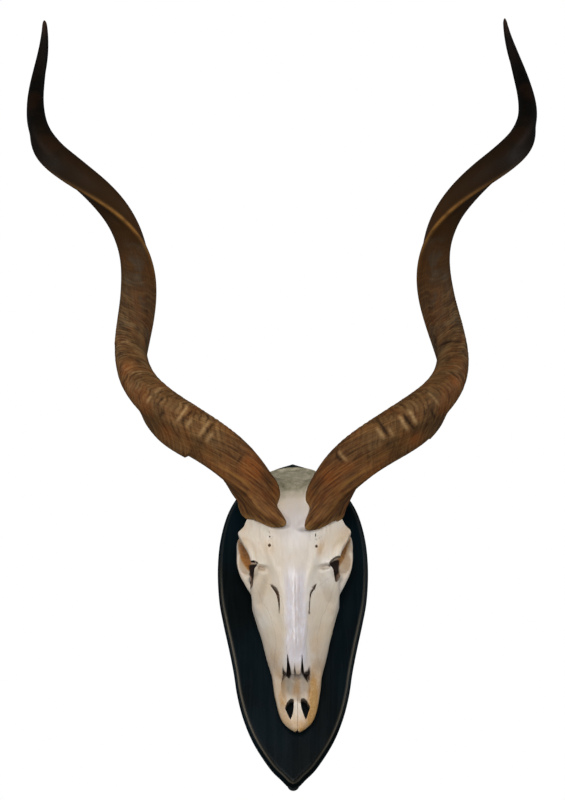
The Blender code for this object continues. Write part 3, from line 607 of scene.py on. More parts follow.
# Materials
def bone_material():
    m = Shading("bone_look")
    place = m.place()
    streaks = m.noise(m.scaled(place, (260, 260, 34)), 1.0, 5, 0.6, 0.3)
    patches = m.noise(place, 38, 4, 0.55, 0.4)
    fine = m.noise(place, 420, 4, 0.6)
    nasal, shaded_crown, dark = (m.attribute(name) for name in ("nasal", "shaded_crown", "dark"))
    m.colour = m.ramp(m.noise(place, 15, 3, 0.5), (0.3, 230, 213, 188), (0.5, 235, 223, 206),
                      (0.72, 239, 232, 223))
    m.paint(m.span(streaks, 0.42, 0.72, 0.0, 0.3), (214, 194, 168))
    # Ochre colour, which in the eye sockets and on the nose's inner walls is also painted shade
    m.paint(m.attribute("ochre") * m.span(patches, 0.28, 0.66, 0.55, 1.25),
            m.ramp(fine, (0.3, 188, 134, 72), (0.7, 218, 178, 118)))
    # Painted sheen: pale lilac streaks standing in for highlights on the glossy nasal bones and forehead,
    # where the roughness is also lower
    m.paint(nasal * m.span(streaks, 0.25, 0.6, 0.55, 1.0),
            m.ramp(streaks, (0.3, 214, 202, 208), (0.55, 232, 225, 229), (0.75, 242, 239, 246)))
    # Painted shade, tinted grey-green, on the crown behind the horns, which slopes away toward the wall
    m.paint(shaded_crown * m.span(patches, 0.25, 0.6, 0.75, 1.1),
            m.ramp(m.noise(place, 120, 5, 0.65), (0.32, 132, 127, 100), (0.5, 166, 158, 132),
                   (0.7, 198, 188, 164)))
    # Painted shade, grey, on the nose floor under the nasal tips
    m.paint(m.attribute("grey") * m.span(patches, 0.3, 0.6, 0.5, 1.0), (158, 150, 132))
    # Grown-together seams, as thin dark lines whose course wanders a little
    wander = (m.noise(place, 330, 3, 0.6) - 0.5) * 3.4
    seam = None
    for name in ("seam_middle", "seam_side", "seam_cross"):
        off = m.math("ABSOLUTE", m.attribute(name) + wander)
        line = m.span(off, 0.12, 0.75, 1.0, 0.0) * m.attribute(name + "_shown")
        seam = m.math("MAXIMUM", seam, line) if seam else line
    m.paint(seam * 0.55, (120, 88, 54))
    # Stained pores
    pores = m.span(m.cells(place, 260), 0.10, 0.24, 1.0, 0.0) * m.attribute("porous")
    m.paint(pores * 0.8, (92, 66, 40))
    # Darker orange inside the eye sockets, seen through their rims: ochre colour and painted shade
    m.paint(m.attribute("lens") * m.span(patches, 0.3, 0.6, 0.45, 0.85),
            m.ramp(fine, (0.35, 146, 84, 34), (0.65, 190, 122, 56)))
    # Slightly darker between the eyes and down the middle of the nasal bones, on surfaces facing the front
    m.paint(m.attribute("darker_middle"), (237, 234, 230), "MULTIPLY")
    # Brown staining and painted shade in the hollows
    m.paint(m.span(m.attribute("hollow"), 0.1, 1.0, 0.0, 0.85), (150, 104, 58), "MULTIPLY")
    # Painted shade: near-black in the openings and on what is seen through them
    m.paint(dark, (30, 14, 6))
    rough = m.span(streaks, 0.3, 0.7, 0.34, 0.5) + shaded_crown * 0.25
    rough = m.math("MAXIMUM", rough - nasal * m.span(streaks, 0.35, 0.6, 0.05, 0.2), dark * 0.9)
    height = fine * 0.5 + streaks * 0.9 - seam * 1.2 - pores
    return m.finish(rough, m.bump(height, 0.35 * MM, 0.8), Subsurface_Weight=0.06,
                    Subsurface_Radius=(0.004, 0.0025, 0.0015))


def horn_material():
    m = Shading("horn_look")
    grain = m.attribute("grain", "Vector")
    u = m.attribute("along")
    fibres = m.noise(m.scaled(grain, (1.0, 1.0, 0.07)), 560, 4, 0.6, 0.35)
    broad = m.noise(m.scaled(grain, (1.0, 1.0, 0.06)), 260, 3, 0.55, 0.4)
    bands = m.noise(m.scaled(grain, (0.16, 0.16, 1.0)), 260, 4, 0.6, 0.5)
    patches = m.noise(grain, 42, 4, 0.55, 0.5)
    speckle = m.noise(grain, 520, 4, 0.7)
    lower = m.span(u, 0.5, 0.62, 1.0, 0.0)
    foot = m.span(u, 0.08, 0.26, 1.0, 0.0)
    ringed = lower * (m.span(u, 0.38, 0.52, 1.0, 0.12) * m.span(u, 0.04, 0.18, 0.12, 1.0))
    m.colour = m.ramp(
        u, (0.0, 116, 76, 42), (0.05, 104, 66, 36), (0.12, 108, 73, 40), (0.25, 98, 70, 41),
        (0.38, 78, 57, 36), (0.5, 78, 51, 24), (0.6, 56, 36, 16), (0.7, 34, 23, 12), (0.8, 12, 8, 4),
        (0.9, 7, 5, 3), (0.97, 18, 12, 8), (1.0, 56, 36, 26))
    m.paint(m.span(patches, 0.36, 0.7, 0.0, 0.6) * lower, (66, 44, 26))
    # Orange-brown and grey patches
    warm = m.span(m.noise(grain, 23, 3, 0.5, 0.3), 0.46, 0.64) * m.span(u, 0.1, 0.6, 0.6, 0.03)
    m.paint(m.math("MAXIMUM", warm, m.attribute("warm")) * 0.75, (146, 80, 32))
    cool = m.span(m.noise(grain, 31, 3, 0.5, 0.6), 0.5, 0.66) * m.span(u, 0.22, 0.4, 0.15, 0.6)
    m.paint(cool * lower, (78, 68, 54))
    # Broad fibres of the foot, rings above it, and fine fibres
    m.paint(m.span(broad, 0.5, 0.68) * (foot * 0.6), (156, 108, 58))
    m.paint(m.span(broad, 0.48, 0.34) * (foot * 0.6), (58, 36, 20))
    m.paint(m.span(bands, 0.48, 0.66) * (ringed * 0.45), (140, 104, 62))
    m.paint(m.span(bands, 0.48, 0.34) * (ringed * 0.6), (50, 32, 17))
    m.paint(m.span(fibres, 0.5, 0.72) * (lower * 0.1 + foot * 0.34), (160, 118, 70))
    m.paint(m.span(fibres, 0.48, 0.3) * (lower * 0.16 + foot * 0.4), (44, 28, 16))
    # Painted highlights on the crests of the growth wrinkles and on single raised wrinkles, and painted shade
    # in their grooves and in sunken wrinkles
    m.paint(m.attribute("crest") * m.span(m.noise(grain, 60, 3, 0.6), 0.42, 0.6) * 0.95, (176, 138, 90))
    m.paint(m.attribute("groove") * 0.9, (34, 20, 11))
    m.paint(m.attribute("streak_pale") * m.span(fibres, 0.3, 0.6, 0.55, 1.0), (184, 146, 98))
    m.paint(m.attribute("streak_dark") * 0.9, (28, 17, 10))
    pale_line = m.span(m.noise(m.scaled(grain, (1, 1, 0.3)), 160, 4, 0.6), 0.3, 0.58, 0.45, 1.0)
    m.paint(m.attribute("keel") * pale_line, (142, 98, 46))
    m.paint(m.attribute("rim") * m.span(fibres, 0.4, 0.6, 0.2, 1.0), (150, 112, 64))
    m.paint(m.span(speckle, 0.6, 0.78, 0.0, 0.4), (28, 17, 9))
    m.paint(1.0, m.node("CombineColor", dict(enumerate([m.attribute("tone")] * 3))), "MULTIPLY")
    rough = m.span(patches + u * -0.25, 0.1, 0.8, 0.52, 0.68)
    height = fibres * (foot * 1.2 + 0.3) + speckle * 0.3 + bands * ringed * 1.5
    return m.finish(rough, m.bump(height, 0.6 * MM, 0.85), Specular_IOR_Level=0.1)


def wood_material():
    m = Shading("ebonised_wood_look")
    place = m.place()
    grain = m.noise(m.scaled(place, (90, 90, 5.5)), 1.0, 6, 0.62, 0.8)
    teal_sheen = m.noise(place, 9, 3, 0.5)
    fine_noise = m.noise(place, 900, 3, 0.6)
    # Near-black wood grain. Its teal tint and the teal clouds are painted sheen, standing in for a reflection
    # on the finish
    m.colour = m.ramp(grain, (0.3, 6, 10, 11), (0.55, 8, 14, 15), (0.75, 12, 18, 19))
    m.paint(m.span(teal_sheen, 0.38, 0.62, 0.0, 0.75), (8, 23, 29))
    # Painted highlight line along the bead, broken up by fine noise
    m.paint(m.attribute("edge") * m.span(fine_noise, 0.35, 0.6, 0.65, 1.0), (132, 122, 105))
    return m.finish(m.span(grain + teal_sheen * 0.4, 0.5, 1.0, 0.22, 0.34),
                    m.bump(grain + fine_noise * 0.15, 0.08 * MM, 0.3), Specular_IOR_Level=0.06)


def enamel_material():
    m = Shading("enamel_look")
    place = m.place()
    streaks = m.noise(m.scaled(place, (420, 60, 420)), 1.0, 5, 0.6)
    stain = m.noise(place, 130, 4, 0.6)
    m.colour = m.ramp(streaks, (0.3, 176, 152, 110), (0.55, 208, 192, 156), (0.75, 226, 216, 190))
    m.paint(m.span(stain, 0.48, 0.7, 0.0, 0.75), (96, 66, 36))
    return m.finish(m.span(stain, 0.3, 0.7, 0.22, 0.5), m.bump(streaks, 0.3 * MM, 0.6))


def steel_material():
    m = Shading("steel_look")
    place = m.place()
    scratches = m.noise(m.scaled(place, (400, 400, 3000)), 1.0, 4, 0.6)
    m.colour = srgb(168, 166, 160)
    m.paint(m.span(m.noise(place, 900, 4, 0.6), 0.55, 0.75, 0.0, 0.6), (116, 92, 66))
    return m.finish(m.span(scratches, 0.3, 0.7, 0.24, 0.45), m.bump(scratches, 0.05 * MM, 0.5), Metallic=1.0)


def floor_material():
    m = Shading("floor_look")
    m.colour = m.ramp(m.noise(m.place(), 3, 3), (0.3, 226, 225, 222), (0.7, 232, 231, 229))
    return m.finish(0.8, Emission_Color=(1, 1, 1, 1), Emission_Strength=0.55)


# Shield
def plaque_ring(inset, height):
    """The shield's outline moved in by the inset, at a height over the wall."""
    half = spline(PLAQUE_OUTLINE, PLAQUE_SPLINE_STEPS) * MM
    ring = np.concatenate([half, half[-2:0:-1] * (-1, 1)])
    before = unit(ring - np.roll(ring, 1, axis=0))
    after = unit(np.roll(ring, -1, axis=0) - ring)
    inward = unit(np.stack([before[:, 1] + after[:, 1], -before[:, 0] - after[:, 0]], -1))
    mitre = np.maximum(0.5, inward[:, 0] * after[:, 1] - inward[:, 1] * after[:, 0])
    moved = ring + inward * (inset / mitre)[:, None]
    # Near the peak and the tip the inset edge would pass the middle line, so it is gathered there
    for end in (0, len(half) - 1):
        past = (np.sign(ring[:, 0]) * moved[:, 0] < 0) & (np.abs(ring[:, 1] - ring[end, 1]) < 40 * MM)
        moved[past] = moved[end] + (ring[past] - ring[end]) * 0.02
    return np.stack([moved[:, 0], np.full(len(moved), -height), moved[:, 1]], -1)


def build_plaque(mat):
    profile = [(0.6 * MM, 0), (0, 0.6 * MM), (0, EDGE_HEIGHT - 0.8 * MM), (0.2 * MM, EDGE_HEIGHT),
               (0.8 * MM, EDGE_HEIGHT + 1.0 * MM), (1.6 * MM, EDGE_HEIGHT + 2.2 * MM),
               (2.4 * MM, LEDGE_HEIGHT - 0.5 * MM), (LEDGE_WIDTH, LEDGE_HEIGHT)]
    for k in range(1, BEAD_STEPS + 1):
        a = 0.5 * math.pi * k / BEAD_STEPS
        profile.append((LEDGE_WIDTH + BEAD_WIDTH * (1 - math.cos(a)),
                        LEDGE_HEIGHT + (PLAQUE_THICKNESS - LEDGE_HEIGHT) * math.sin(a)))
    profile.append((LEDGE_WIDTH + BEAD_WIDTH + 3 * MM, PLAQUE_THICKNESS))
    rings = np.array([plaque_ring(inset, height) for inset, height in profile])
    plaque = add_object("plaque_body", grid_mesh("plaque_body", rings))
    bm = bmesh.new()
    centre = Vector((0, -EDGE_HEIGHT / 2, NUB_BOTTOM + NUB_RADIUS))
    bmesh.ops.create_cone(
        bm, cap_ends=True, segments=64, radius1=NUB_RADIUS, radius2=NUB_RADIUS, depth=EDGE_HEIGHT,
        matrix=Matrix.Translation(centre) @ Matrix.Rotation(math.pi / 2, 4, "X"))
    nub = object_from_bmesh("nub", bm)
    modify(plaque, "BOOLEAN", operation="UNION", object=nub)
    guides = [nub]
    for height, length in SCREW_HEIGHTS.values():
        guides.append(screw_guide(height, length))
        cut(plaque, guides[-1])
    mesh = baked(plaque)
    discard(plaque, *guides)
    x, y, z = vertex_array(mesh).T
    # Painted highlight along the bead, stronger on the left and over the lower half
    pale_line = bell(-y, BEAD_HIGHLIGHT_HEIGHT, BEAD_HIGHLIGHT_WIDTH) * (y < -LEDGE_HEIGHT) * (y > -PLAQUE_THICKNESS + 0.05 * MM)
    pale_line *= np.where(x > 0, 0.6, 0.9)
    pale_line *= 0.12 + 0.88 * smoothstep(0.11, -0.03, z) * (1 - 0.5 * smoothstep(-0.16, -0.23, z))
    add_value(mesh, "edge", pale_line)
    piece = add_object("plaque_wood", mesh, mat)
    mesh.set_sharp_from_angle(angle=PLAQUE_CREASE)
    return piece


# Horns
def horn_axes(horn):
    """The horn's own directions: along its middle line, outward and toward the viewer."""
    splay = horn["splay"]
    along = np.array((math.sin(splay), -math.sin(HORN_LEAN) * math.cos(splay),
                      math.cos(HORN_LEAN) * math.cos(splay)))
    outward = np.array((math.cos(splay), 0.0, -math.sin(splay)))
    forward = np.cross(along, outward)
    outward = unit(np.cross(forward, along))
    forward = unit(forward)
    return along, outward * np.sign(outward[0]), -forward * np.sign(forward[1])


def horn_centre(horn, s):
    along, outward, forward = horn_axes(horn)
    s = np.asarray(s, dtype=float)[..., None]
    angle = horn["phase"] + 2 * math.pi * horn["turns"] * s
    coil = horn["coil_base"] + (horn["coil_tip"] - horn["coil_base"]) * s
    centre = np.array(horn["start"]) + horn["length"] * (s * along + horn["bow"] * s * (1 - s) * outward)
    return centre + coil * (np.cos(angle) * outward - np.sin(angle) * forward)


def horn_frame(horn, s):
    """Centre, tangent, keel direction and cross direction at s, for a horn on the +X side."""
    step = 0.001
    tangent = unit(horn_centre(horn, s + step) - horn_centre(horn, s - step))
    _, outward, forward = horn_axes(horn)
    lead = KEEL_LEAD_BASE + (KEEL_LEAD_TIP - KEEL_LEAD_BASE) * s
    keel = (horn["phase"] + 2 * math.pi * horn["turns"] * s + lead)[..., None]
    toward = np.cos(keel) * outward - np.sin(keel) * forward
    toward = unit(toward - (toward * tangent).sum(-1, keepdims=True) * tangent)
    return horn_centre(horn, s), tangent, toward, np.cross(tangent, toward)


def horn_width(s):
    """The horn's plain radius, with the knots of its table rounded off."""
    knots = np.array(HORN_RADIUS)
    reach = 0.03 * np.clip(np.minimum(s, 1 - s) / 0.06, 0, 1)
    total = 0.0
    for offset in (-1, -0.5, 0, 0.5, 1):
        total = total + np.interp(s + offset * reach, knots[:, 0], knots[:, 1])
    return total / 5 * MM


def horn_radius(horn, s, phi):
    """Radius with the keel, whose lower end is broken down, and the foot's lobe and waist."""
    sharp = 0.38 * smoothstep(0.08, 0.18, s)
    keel = (1 - sharp) * bell(phi, 0, KEEL_HALF_ANGLE) + sharp * bell(phi, 0, 0.45 * KEEL_HALF_ANGLE)
    swell = KEEL_SWELL * bell(s, KEEL_SWELL_PLACE, KEEL_SWELL_LENGTH)
    left = smoothstep(horn["keel_break"] - KEEL_STEP, horn["keel_break"] + KEEL_STEP, s)
    whole = np.maximum(1 + swell - horn["keel_loss"] * (1 - left), smoothstep(0.10, 0.0, s))
    whole = whole + 0.3 * bell(s, 0.21, 0.06)
    radius = horn_width(s) * (1 + KEEL_HEIGHT * keel * whole)
    up = np.maximum(s - horn_start(horn, phi, 0.0), 0) * horn["length"]
    near = bell(up, 0, LOBE_LENGTH)
    radius = radius + horn["lobe"] * bell(phi, LOBE_ANGLE, LOBE_HALF_ANGLE) * near
    radius = radius - horn["waist"] * bell(phi, WAIST_ANGLE, LOBE_HALF_ANGLE) * near
    radius = radius + horn["knob"] * bell(phi, KNOB_ANGLE, 0.5) * bell(up, KNOB_PLACE, KNOB_LENGTH)
    outer = bell(phi, TAPER_ANGLE, TAPER_HALF_ANGLE)
    return radius - outer * (TAPER * bell(up, 0, TAPER_LENGTH)
                             + horn["hollow"] * bell(up, HOLLOW_PLACE, HOLLOW_LENGTH))


def horn_offset(phi, radius, toward, across):
    """A point's place beside the horn's centre, at an angle from the keel."""
    return radius[..., None] * (np.cos(phi)[..., None] * toward + np.sin(phi)[..., None] * across)


def horn_start(horn, phi, sink):
    """Where along the horn the base rim lies at this angle round it."""
    centre, tangent, toward, across = horn_frame(horn, np.array(0.0))
    width = HORN_RADIUS[0][1] * MM * (1 + KEEL_HEIGHT * np.exp(-(phi / KEEL_HALF_ANGLE) ** 2))
    rim = horn_offset(phi, width, toward, across)
    speed = np.linalg.norm(horn_centre(horn, 0.001) - centre) / 0.001
    lift = RIM_LIFT + horn["rim_lift"] * bell(phi, horn["rim_lift_angle"], RIM_LIFT_HALF_ANGLE)
    return (-(rim @ BASE_PLANE) / (tangent @ BASE_PLANE) - sink) / speed + lift


def horn_wrinkles(horn, length, phi):
    """Growth wrinkles: heights, and how much a point is a crest or a groove."""
    seed = horn["seed"]
    x, y = np.cos(phi), np.sin(phi)
    drift = length + 1.6 * MM * noise(length / (42 * MM), 0.9 * x, 0.9 * y, seed)
    drift = drift + 5.5 * MM * noise(length / (26 * MM), 0, 0, seed + 1)
    table = np.linspace(-0.1, 1.3, 400)
    wide, close = WRINKLE_SPACING
    spacing = wide + (close - wide) * smoothstep(0.15, 0.34, table)
    counts = np.cumsum(horn["length"] * (table[1] - table[0]) / spacing)
    count = np.interp(drift / horn["length"], table, counts)
    index = np.floor(count)
    part = count - index
    strength = np.clip(0.55 + 0.6 * noise(index * 7.31, 1.1 * x, 1.1 * y, seed + 2), 0.05, 1.2)
    crest = np.sin(math.pi * part) ** 0.75
    fine_count = (length + 1.5 * MM * noise(length / (15 * MM), 2.2 * x, 2.2 * y, seed + 3)) / (2.7 * MM)
    fine = np.abs(np.sin(math.pi * fine_count)) * np.clip(
        0.5 + 0.8 * noise(np.floor(fine_count) * 3.7, 1.7 * x, 1.7 * y, seed + 4), 0, 1.2)
    height = (crest - 0.6) * strength + 0.22 * (fine - 0.4)
    groove = strength * np.exp(-((part - 0.5 + np.sign(0.5 - part) * 0.5) / 0.09) ** 2)
    return height, crest * strength, groove


def angle_from(phi, low, high):
    """How far an angle is from the middle of two others."""
    return np.abs((phi - 0.5 * (low + high) + math.pi) % (2 * math.pi) - math.pi)


def horn_surface(horn, u, phi, grow=0.0, scale=1.0, sink=BASE_SINK, ragged=True):
    """Points of the horn's surface for arrays u (0 at the rim, 1 at the tip) and phi (from the keel)."""
    start = horn_start(horn, phi, sink)
    seed, long = horn["seed"], horn["length"]
    if ragged:
        torn = noise(phi * 5.0 + 20, 0, 0, seed + 5) + 0.6 * noise(phi * 14.0 + 50, 0, 0, seed + 6)
        torn = torn + 0.5 * noise(phi * 37.0 + 90, 0, 0, seed + 16)
        start = start + RIM_TEAR * torn / long
    s = start + (1 - start) * u
    centre, _, toward, across = horn_frame(horn, s)
    radius = horn_radius(horn, s, phi) * scale + grow
    extra = {}
    if ragged:
        height, crest, groove = horn_wrinkles(horn, u * long * CURVE_STRETCH, phi)
        a, b, c, d = WRINKLE_ENDS
        fade = smoothstep(a, b, u) * (1 - 0.93 * smoothstep(c, d, u))
        side = np.clip(0.8 - 0.62 * np.cos(phi), 0.08, 1.1) * (1 - 0.7 * smoothstep(0.36, 0.46, s))
        radius = radius + WRINKLE_HEIGHT * fade * side * height
        flutes = noise(phi * 7.0, u * 9.0, 3.0, seed + 7) + 0.5 * noise(phi * 17.0, u * 14.0, 5.0, seed + 8)
        radius = radius + FLUTE_HEIGHT * flutes * (1 - smoothstep(0.02, 0.16, u)) * smoothstep(0.0, 0.012, u)
        radius = radius + WAVE_HEIGHT * noise(u * 17, 1.2 * np.cos(phi), 1.2 * np.sin(phi), seed + 9)
        streak = 0.0
        for middle, low, high, width, strength in horn["streaks"]:
            half = 0.5 * (high - low)
            away = s - middle + 0.0014 * noise(phi * 2.6, middle * 97, 0 * phi, 61)
            mark = strength * bell(away * long * CURVE_STRETCH / MM, 0, max(width, 1.6)) * (
                1 - smoothstep(0.45 * half, 1.35 * half, angle_from(phi, low, high)))
            radius = radius + STREAK_HEIGHT * mark
            streak = streak + mark
        warm = 0.0
        for middle, low, high in horn["warm"]:
            near = bell(angle_from(phi, low, high), 0, 0.9 * (high - low))
            warm = warm + bell((s - middle) * long / MM, 0, 11) * near
        # Masks for the painted highlights on wrinkle crests, the painted shade in their grooves and in sunken
        # wrinkles, and the warmer patches
        extra = {"crest": 0.4 * crest * fade * side, "groove": 0.5 * groove * fade * side, "warm": warm,
                 "streak_pale": streak, "streak_dark": -streak}
    tip = np.clip((u - TIP_START) / TIP_LENGTH, 0, 1)
    radius = radius * np.sqrt(np.maximum(1e-4, 1 - tip ** 2))
    points = centre + horn_offset(phi, radius, toward, across)
    return points * (horn["side"], 1, 1), extra


def side_angles(count):
    """Angles round the horn, closer together at the keel."""
    t = np.arange(count) / count
    return (2 * math.pi * t - 0.6 * np.sin(2 * math.pi * t) + math.pi) % (2 * math.pi) - math.pi


def build_horn(name, horn, mat):
    rounding = TIP_START + TIP_LENGTH * np.sin(np.linspace(0.2, 1.5, 7))
    u = np.concatenate([np.linspace(0, TIP_START, HORN_RINGS), rounding])
    uu, pp = np.meshgrid(u, side_angles(HORN_SIDES), indexing="ij")
    points, shares = horn_surface(horn, uu, pp)
    mesh = grid_mesh(name, points)

    def spread(values):
        """The grid's values, with a mean one for the middle of each end."""
        return np.concatenate([values.reshape(-1), [np.mean(values[0]), np.mean(values[-1])]])

    width = horn_width(uu)
    add_vector(mesh, "grain", np.stack([spread(v) for v in (
        np.cos(pp) * width, np.sin(pp) * width, uu * horn["length"] * CURVE_STRETCH)], -1))
    add_value(mesh, "along", spread(uu))
    shown = 0.95 * bell(uu, 0.59, 0.055) + 0.25 * band(uu, 0.16, 0.24, 0.7, 0.8)
    crease = 0.9 * bell(pp, -0.30, 0.055) * bell(uu, 0.088, 0.03)
    crease = crease + 0.5 * bell(pp, -0.55, 0.05) * bell(uu, 0.13, 0.03)
    add_value(mesh, "keel", spread(bell(pp, 0, 0.085) * shown + crease))
    shares["rim"] = 1 - smoothstep(0.0, 0.016, uu)
    shares["tone"] = np.full(uu.shape, horn["tone"])
    for share, values in shares.items():
        add_share(mesh, share, spread(values))
    return add_object(name, mesh, mat)


# Skull
def place(x, z, depth):
    """A point of the skull frame from millimetres: sideways, up the wall and out from the shield."""
    return Vector((x * MM, -depth * MM, z * MM))


def add_ball(bm, centre, radii):
    across, high, deep = (r * MM for r in radii)
    matrix = Matrix.Translation(place(*centre)) @ Matrix.Diagonal((across, deep, high, 1.0))
    bmesh.ops.create_uvsphere(bm, u_segments=40, v_segments=20, radius=1.0, matrix=matrix)


def add_bar(bm, points, radii, sides=20):
    """A round bar through skull-frame points, with a radius in millimetres at each."""
    data = spline([(*place(*p), r * MM) for p, r in zip(points, radii)], 8)
    loops = []
    across = None
    for i, row in enumerate(data):
        ahead = data[min(i + 1, len(data) - 1)][:3]
        behind = data[max(i - 1, 0)][:3]
        along = Vector(ahead - behind).normalized()
        across = along.orthogonal() if across is None else across - along * across.dot(along)
        across = across.normalized()
        other = along.cross(across)
        loops.append([Vector(row[:3]) + (across * math.cos(a) + other * math.sin(a)) * row[3]
                      for a in circle(sides)])
    add_loops(bm, loops)


def add_prism(bm, outline, low, high, steps=4):
    """A prism over a rounded outline of (sideways, up) millimetres, between two distances."""
    ring = spline(outline, steps, closed=True)
    add_loops(bm, [[place(x, z, low) for x, z in ring], [place(x, z, high) for x, z in ring]])


def station_loops(stations):
    loops = []
    for z, top, ridge, ridge_d, wall, wall_d, low, low_d, palate in spline(stations, LOFT_STEPS):
        shoulder = (ridge * 0.55, top * 0.6 + ridge_d * 0.4 + 0.4)
        half = [shoulder, (ridge, ridge_d), (wall, wall_d), (low, low_d)]
        ring = [(0, top)] + half + [(0, palate)] + [(-x, d) for x, d in reversed(half)]
        loops.append([place(x, z, d) for x, d in spline(ring, 8, closed=True)])
    return loops


def eye_matrix(side):
    """Turns a ring drawn round +Z into the eye's rim, on one side of the skull."""
    out = Vector((math.cos(EYE_LEAN) * math.cos(EYE_LIFT), -math.sin(EYE_LIFT),
                  -math.sin(EYE_LEAN) * math.cos(EYE_LIFT)))
    out.x *= side
    x, z, depth = EYE_CENTRE
    turn = Vector((0, 0, 1)).rotation_difference(out).to_matrix().to_4x4()
    return Matrix.Translation(place(x * side, z, depth)) @ turn


def add_torus(bm, matrix, radius, thickness, sides=64, round_steps=16):
    loops = []
    for a in circle(sides):
        out = Vector((math.cos(a), math.sin(a), 0))
        loops.append([bm.verts.new(matrix @ (out * (radius + thickness * math.cos(b))
                                             + Vector((0, 0, thickness * math.sin(b)))))
                      for b in circle(round_steps)])
    for i in range(sides):
        a, b = loops[i], loops[(i + 1) % sides]
        for k in range(round_steps):
            j = (k + 1) % round_steps
            bm.faces.new((a[k], a[j], b[j], b[k]))


def skull_forms(bm):
    """The forms that the skull is fused from."""
    add_loops(bm, station_loops(SKULL_STATIONS))
    add_loops(bm, station_loops(MUZZLE_STATIONS))
    half = spline(BROW_OUTLINE, 6)
    for side in (-1, 1):
        # Roof over the eyes, falling a little toward its edge
        upper = []
        for x, z in half:
            level = np.interp(z, (BROW_LOW[0], BROW_HIGH[0]), (BROW_LOW[1], BROW_HIGH[1]))
            upper.append(place(side * x, z, level - BROW_DROP * (x / 84) ** 2))
        add_loops(bm, [upper, [p + Vector((0, BROW_THICKNESS, 0)) for p in upper]])
        add_torus(bm, eye_matrix(side), EYE_RING_RADIUS, EYE_RING_THICKNESS)
        # Cheek swelling in front of the eye, and the bone that ties the eye's rim to it
        add_ball(bm, (side * 51, 16, 62), (14, 34, 26))
        add_bar(bm, [(side * 50, 20, 66), (side * 66, 38, 72), (side * 79, 62, 72), (side * 80, 92, 70),
                     (side * 70, 128, 62), (side * 50, 156, 54)], [14, 10, 7, 6.5, 6, 9])
        # Slope from the roof down to the cheek
        add_bar(bm, [(side * 42, 50, 102), (side * 48, 30, 88), (side * 49, 5, 70), (side * 44, -24, 56)],
                [17, 18, 15, 11])
        # Floor under the eye
        add_ball(bm, (side * 61, 72, 60), (20, 34, 12))
        # Ear region, the knuckles that meet the neck, and the processes beside them
        add_ball(bm, (side * 25, 142, 20), (12, 17, 13))
        add_ball(bm, (side * 15, 209, 24), (12, 12, 14))
        add_bar(bm, [(side * 38, 178, 44), (side * 38, 186, 24), (side * 34, 188, 9)], [10, 7, 4])
        add_bar(bm, [(side * 15, 62, 22), (side * 15, 84, 15), (side * 16, 104, 24)], [4, 4, 4])
    # Ridge across the nape
    add_bar(bm, [(-46, 180, 60), (-36, 206, 70), (0, 213, 75), (36, 206, 70), (46, 180, 60)], [6, 6, 6, 6, 6])
    add_ball(bm, (0, 205, 34), (30, 12, 22))


def horn_foot_loops(horn, positions, grow=0.0, scale=1.0, sink=BASE_SINK):
    phi = side_angles(48)
    uu, pp = np.meshgrid(np.array(positions), phi, indexing="ij")
    points, _ = horn_surface(horn, uu, pp, grow=grow, scale=scale, sink=sink, ragged=False)
    inverse = SKULL_FRAME.inverted()
    return [[inverse @ Vector(p) for p in ring] for ring in points]


def add_pedicel(bm, horn):
    """The bony foot under a horn, just inside the horn's rim."""
    normal = Vector(BASE_PLANE)
    normal.x *= horn["side"]
    normal = SKULL_FRAME.inverted().to_3x3() @ normal
    rim = horn_foot_loops(horn, [0.0], scale=PEDICEL_SCALE, sink=0.0)[0]
    upper = [p + normal * PEDICEL_RISE for p in rim]
    middle = sum(rim, Vector()) / len(rim)
    inner = SKULL_FRAME.inverted() @ Vector((0, -PLAQUE_THICKNESS - 95 * MM, 0.135))
    lower = [p + (inner - middle).normalized() * PEDICEL_DEPTH for p in rim]
    add_loops(bm, [lower, upper])


def screw_guide(height, length, segments=32):
    profile = [(SCREW_HEAD_RADIUS + FIT_GAP, 1 * MM), (SCREW_HEAD_RADIUS + FIT_GAP, -0.7 * MM),
               (SCREW_RADIUS + FIT_GAP, -0.3 * MM - SCREW_HEAD_DEPTH), (SCREW_RADIUS + FIT_GAP, -length * MM)]
    loops = [[Vector((r * math.cos(a), y, height * MM + r * math.sin(a))) for a in circle(segments)]
             for r, y in profile]
    bm = bmesh.new()
    add_loops(bm, loops)
    return object_from_bmesh("screw_guide", bm)


def tooth_row_point(distance):
    t = distance / sum(CROWN_LENGTHS)
    x = TEETH_START[0] + (TEETH_END[0] - TEETH_START[0]) * math.sin(0.5 * math.pi * min(1.0, max(0.0, t)))
    return x, TEETH_START[1] + (TEETH_END[1] - TEETH_START[1]) * t


def teeth_loop(side, width, start, end, count=12):
    """The outline of a strip along the tooth row, as (sideways, up) millimetres."""
    inner, outer = [], []
    for k in range(count):
        x, z = tooth_row_point(start + (end - start) * k / (count - 1))
        inner.append((side * (x - width / 2), z))
        outer.append((side * (x + width / 2), z))
    return outer + list(reversed(inner))


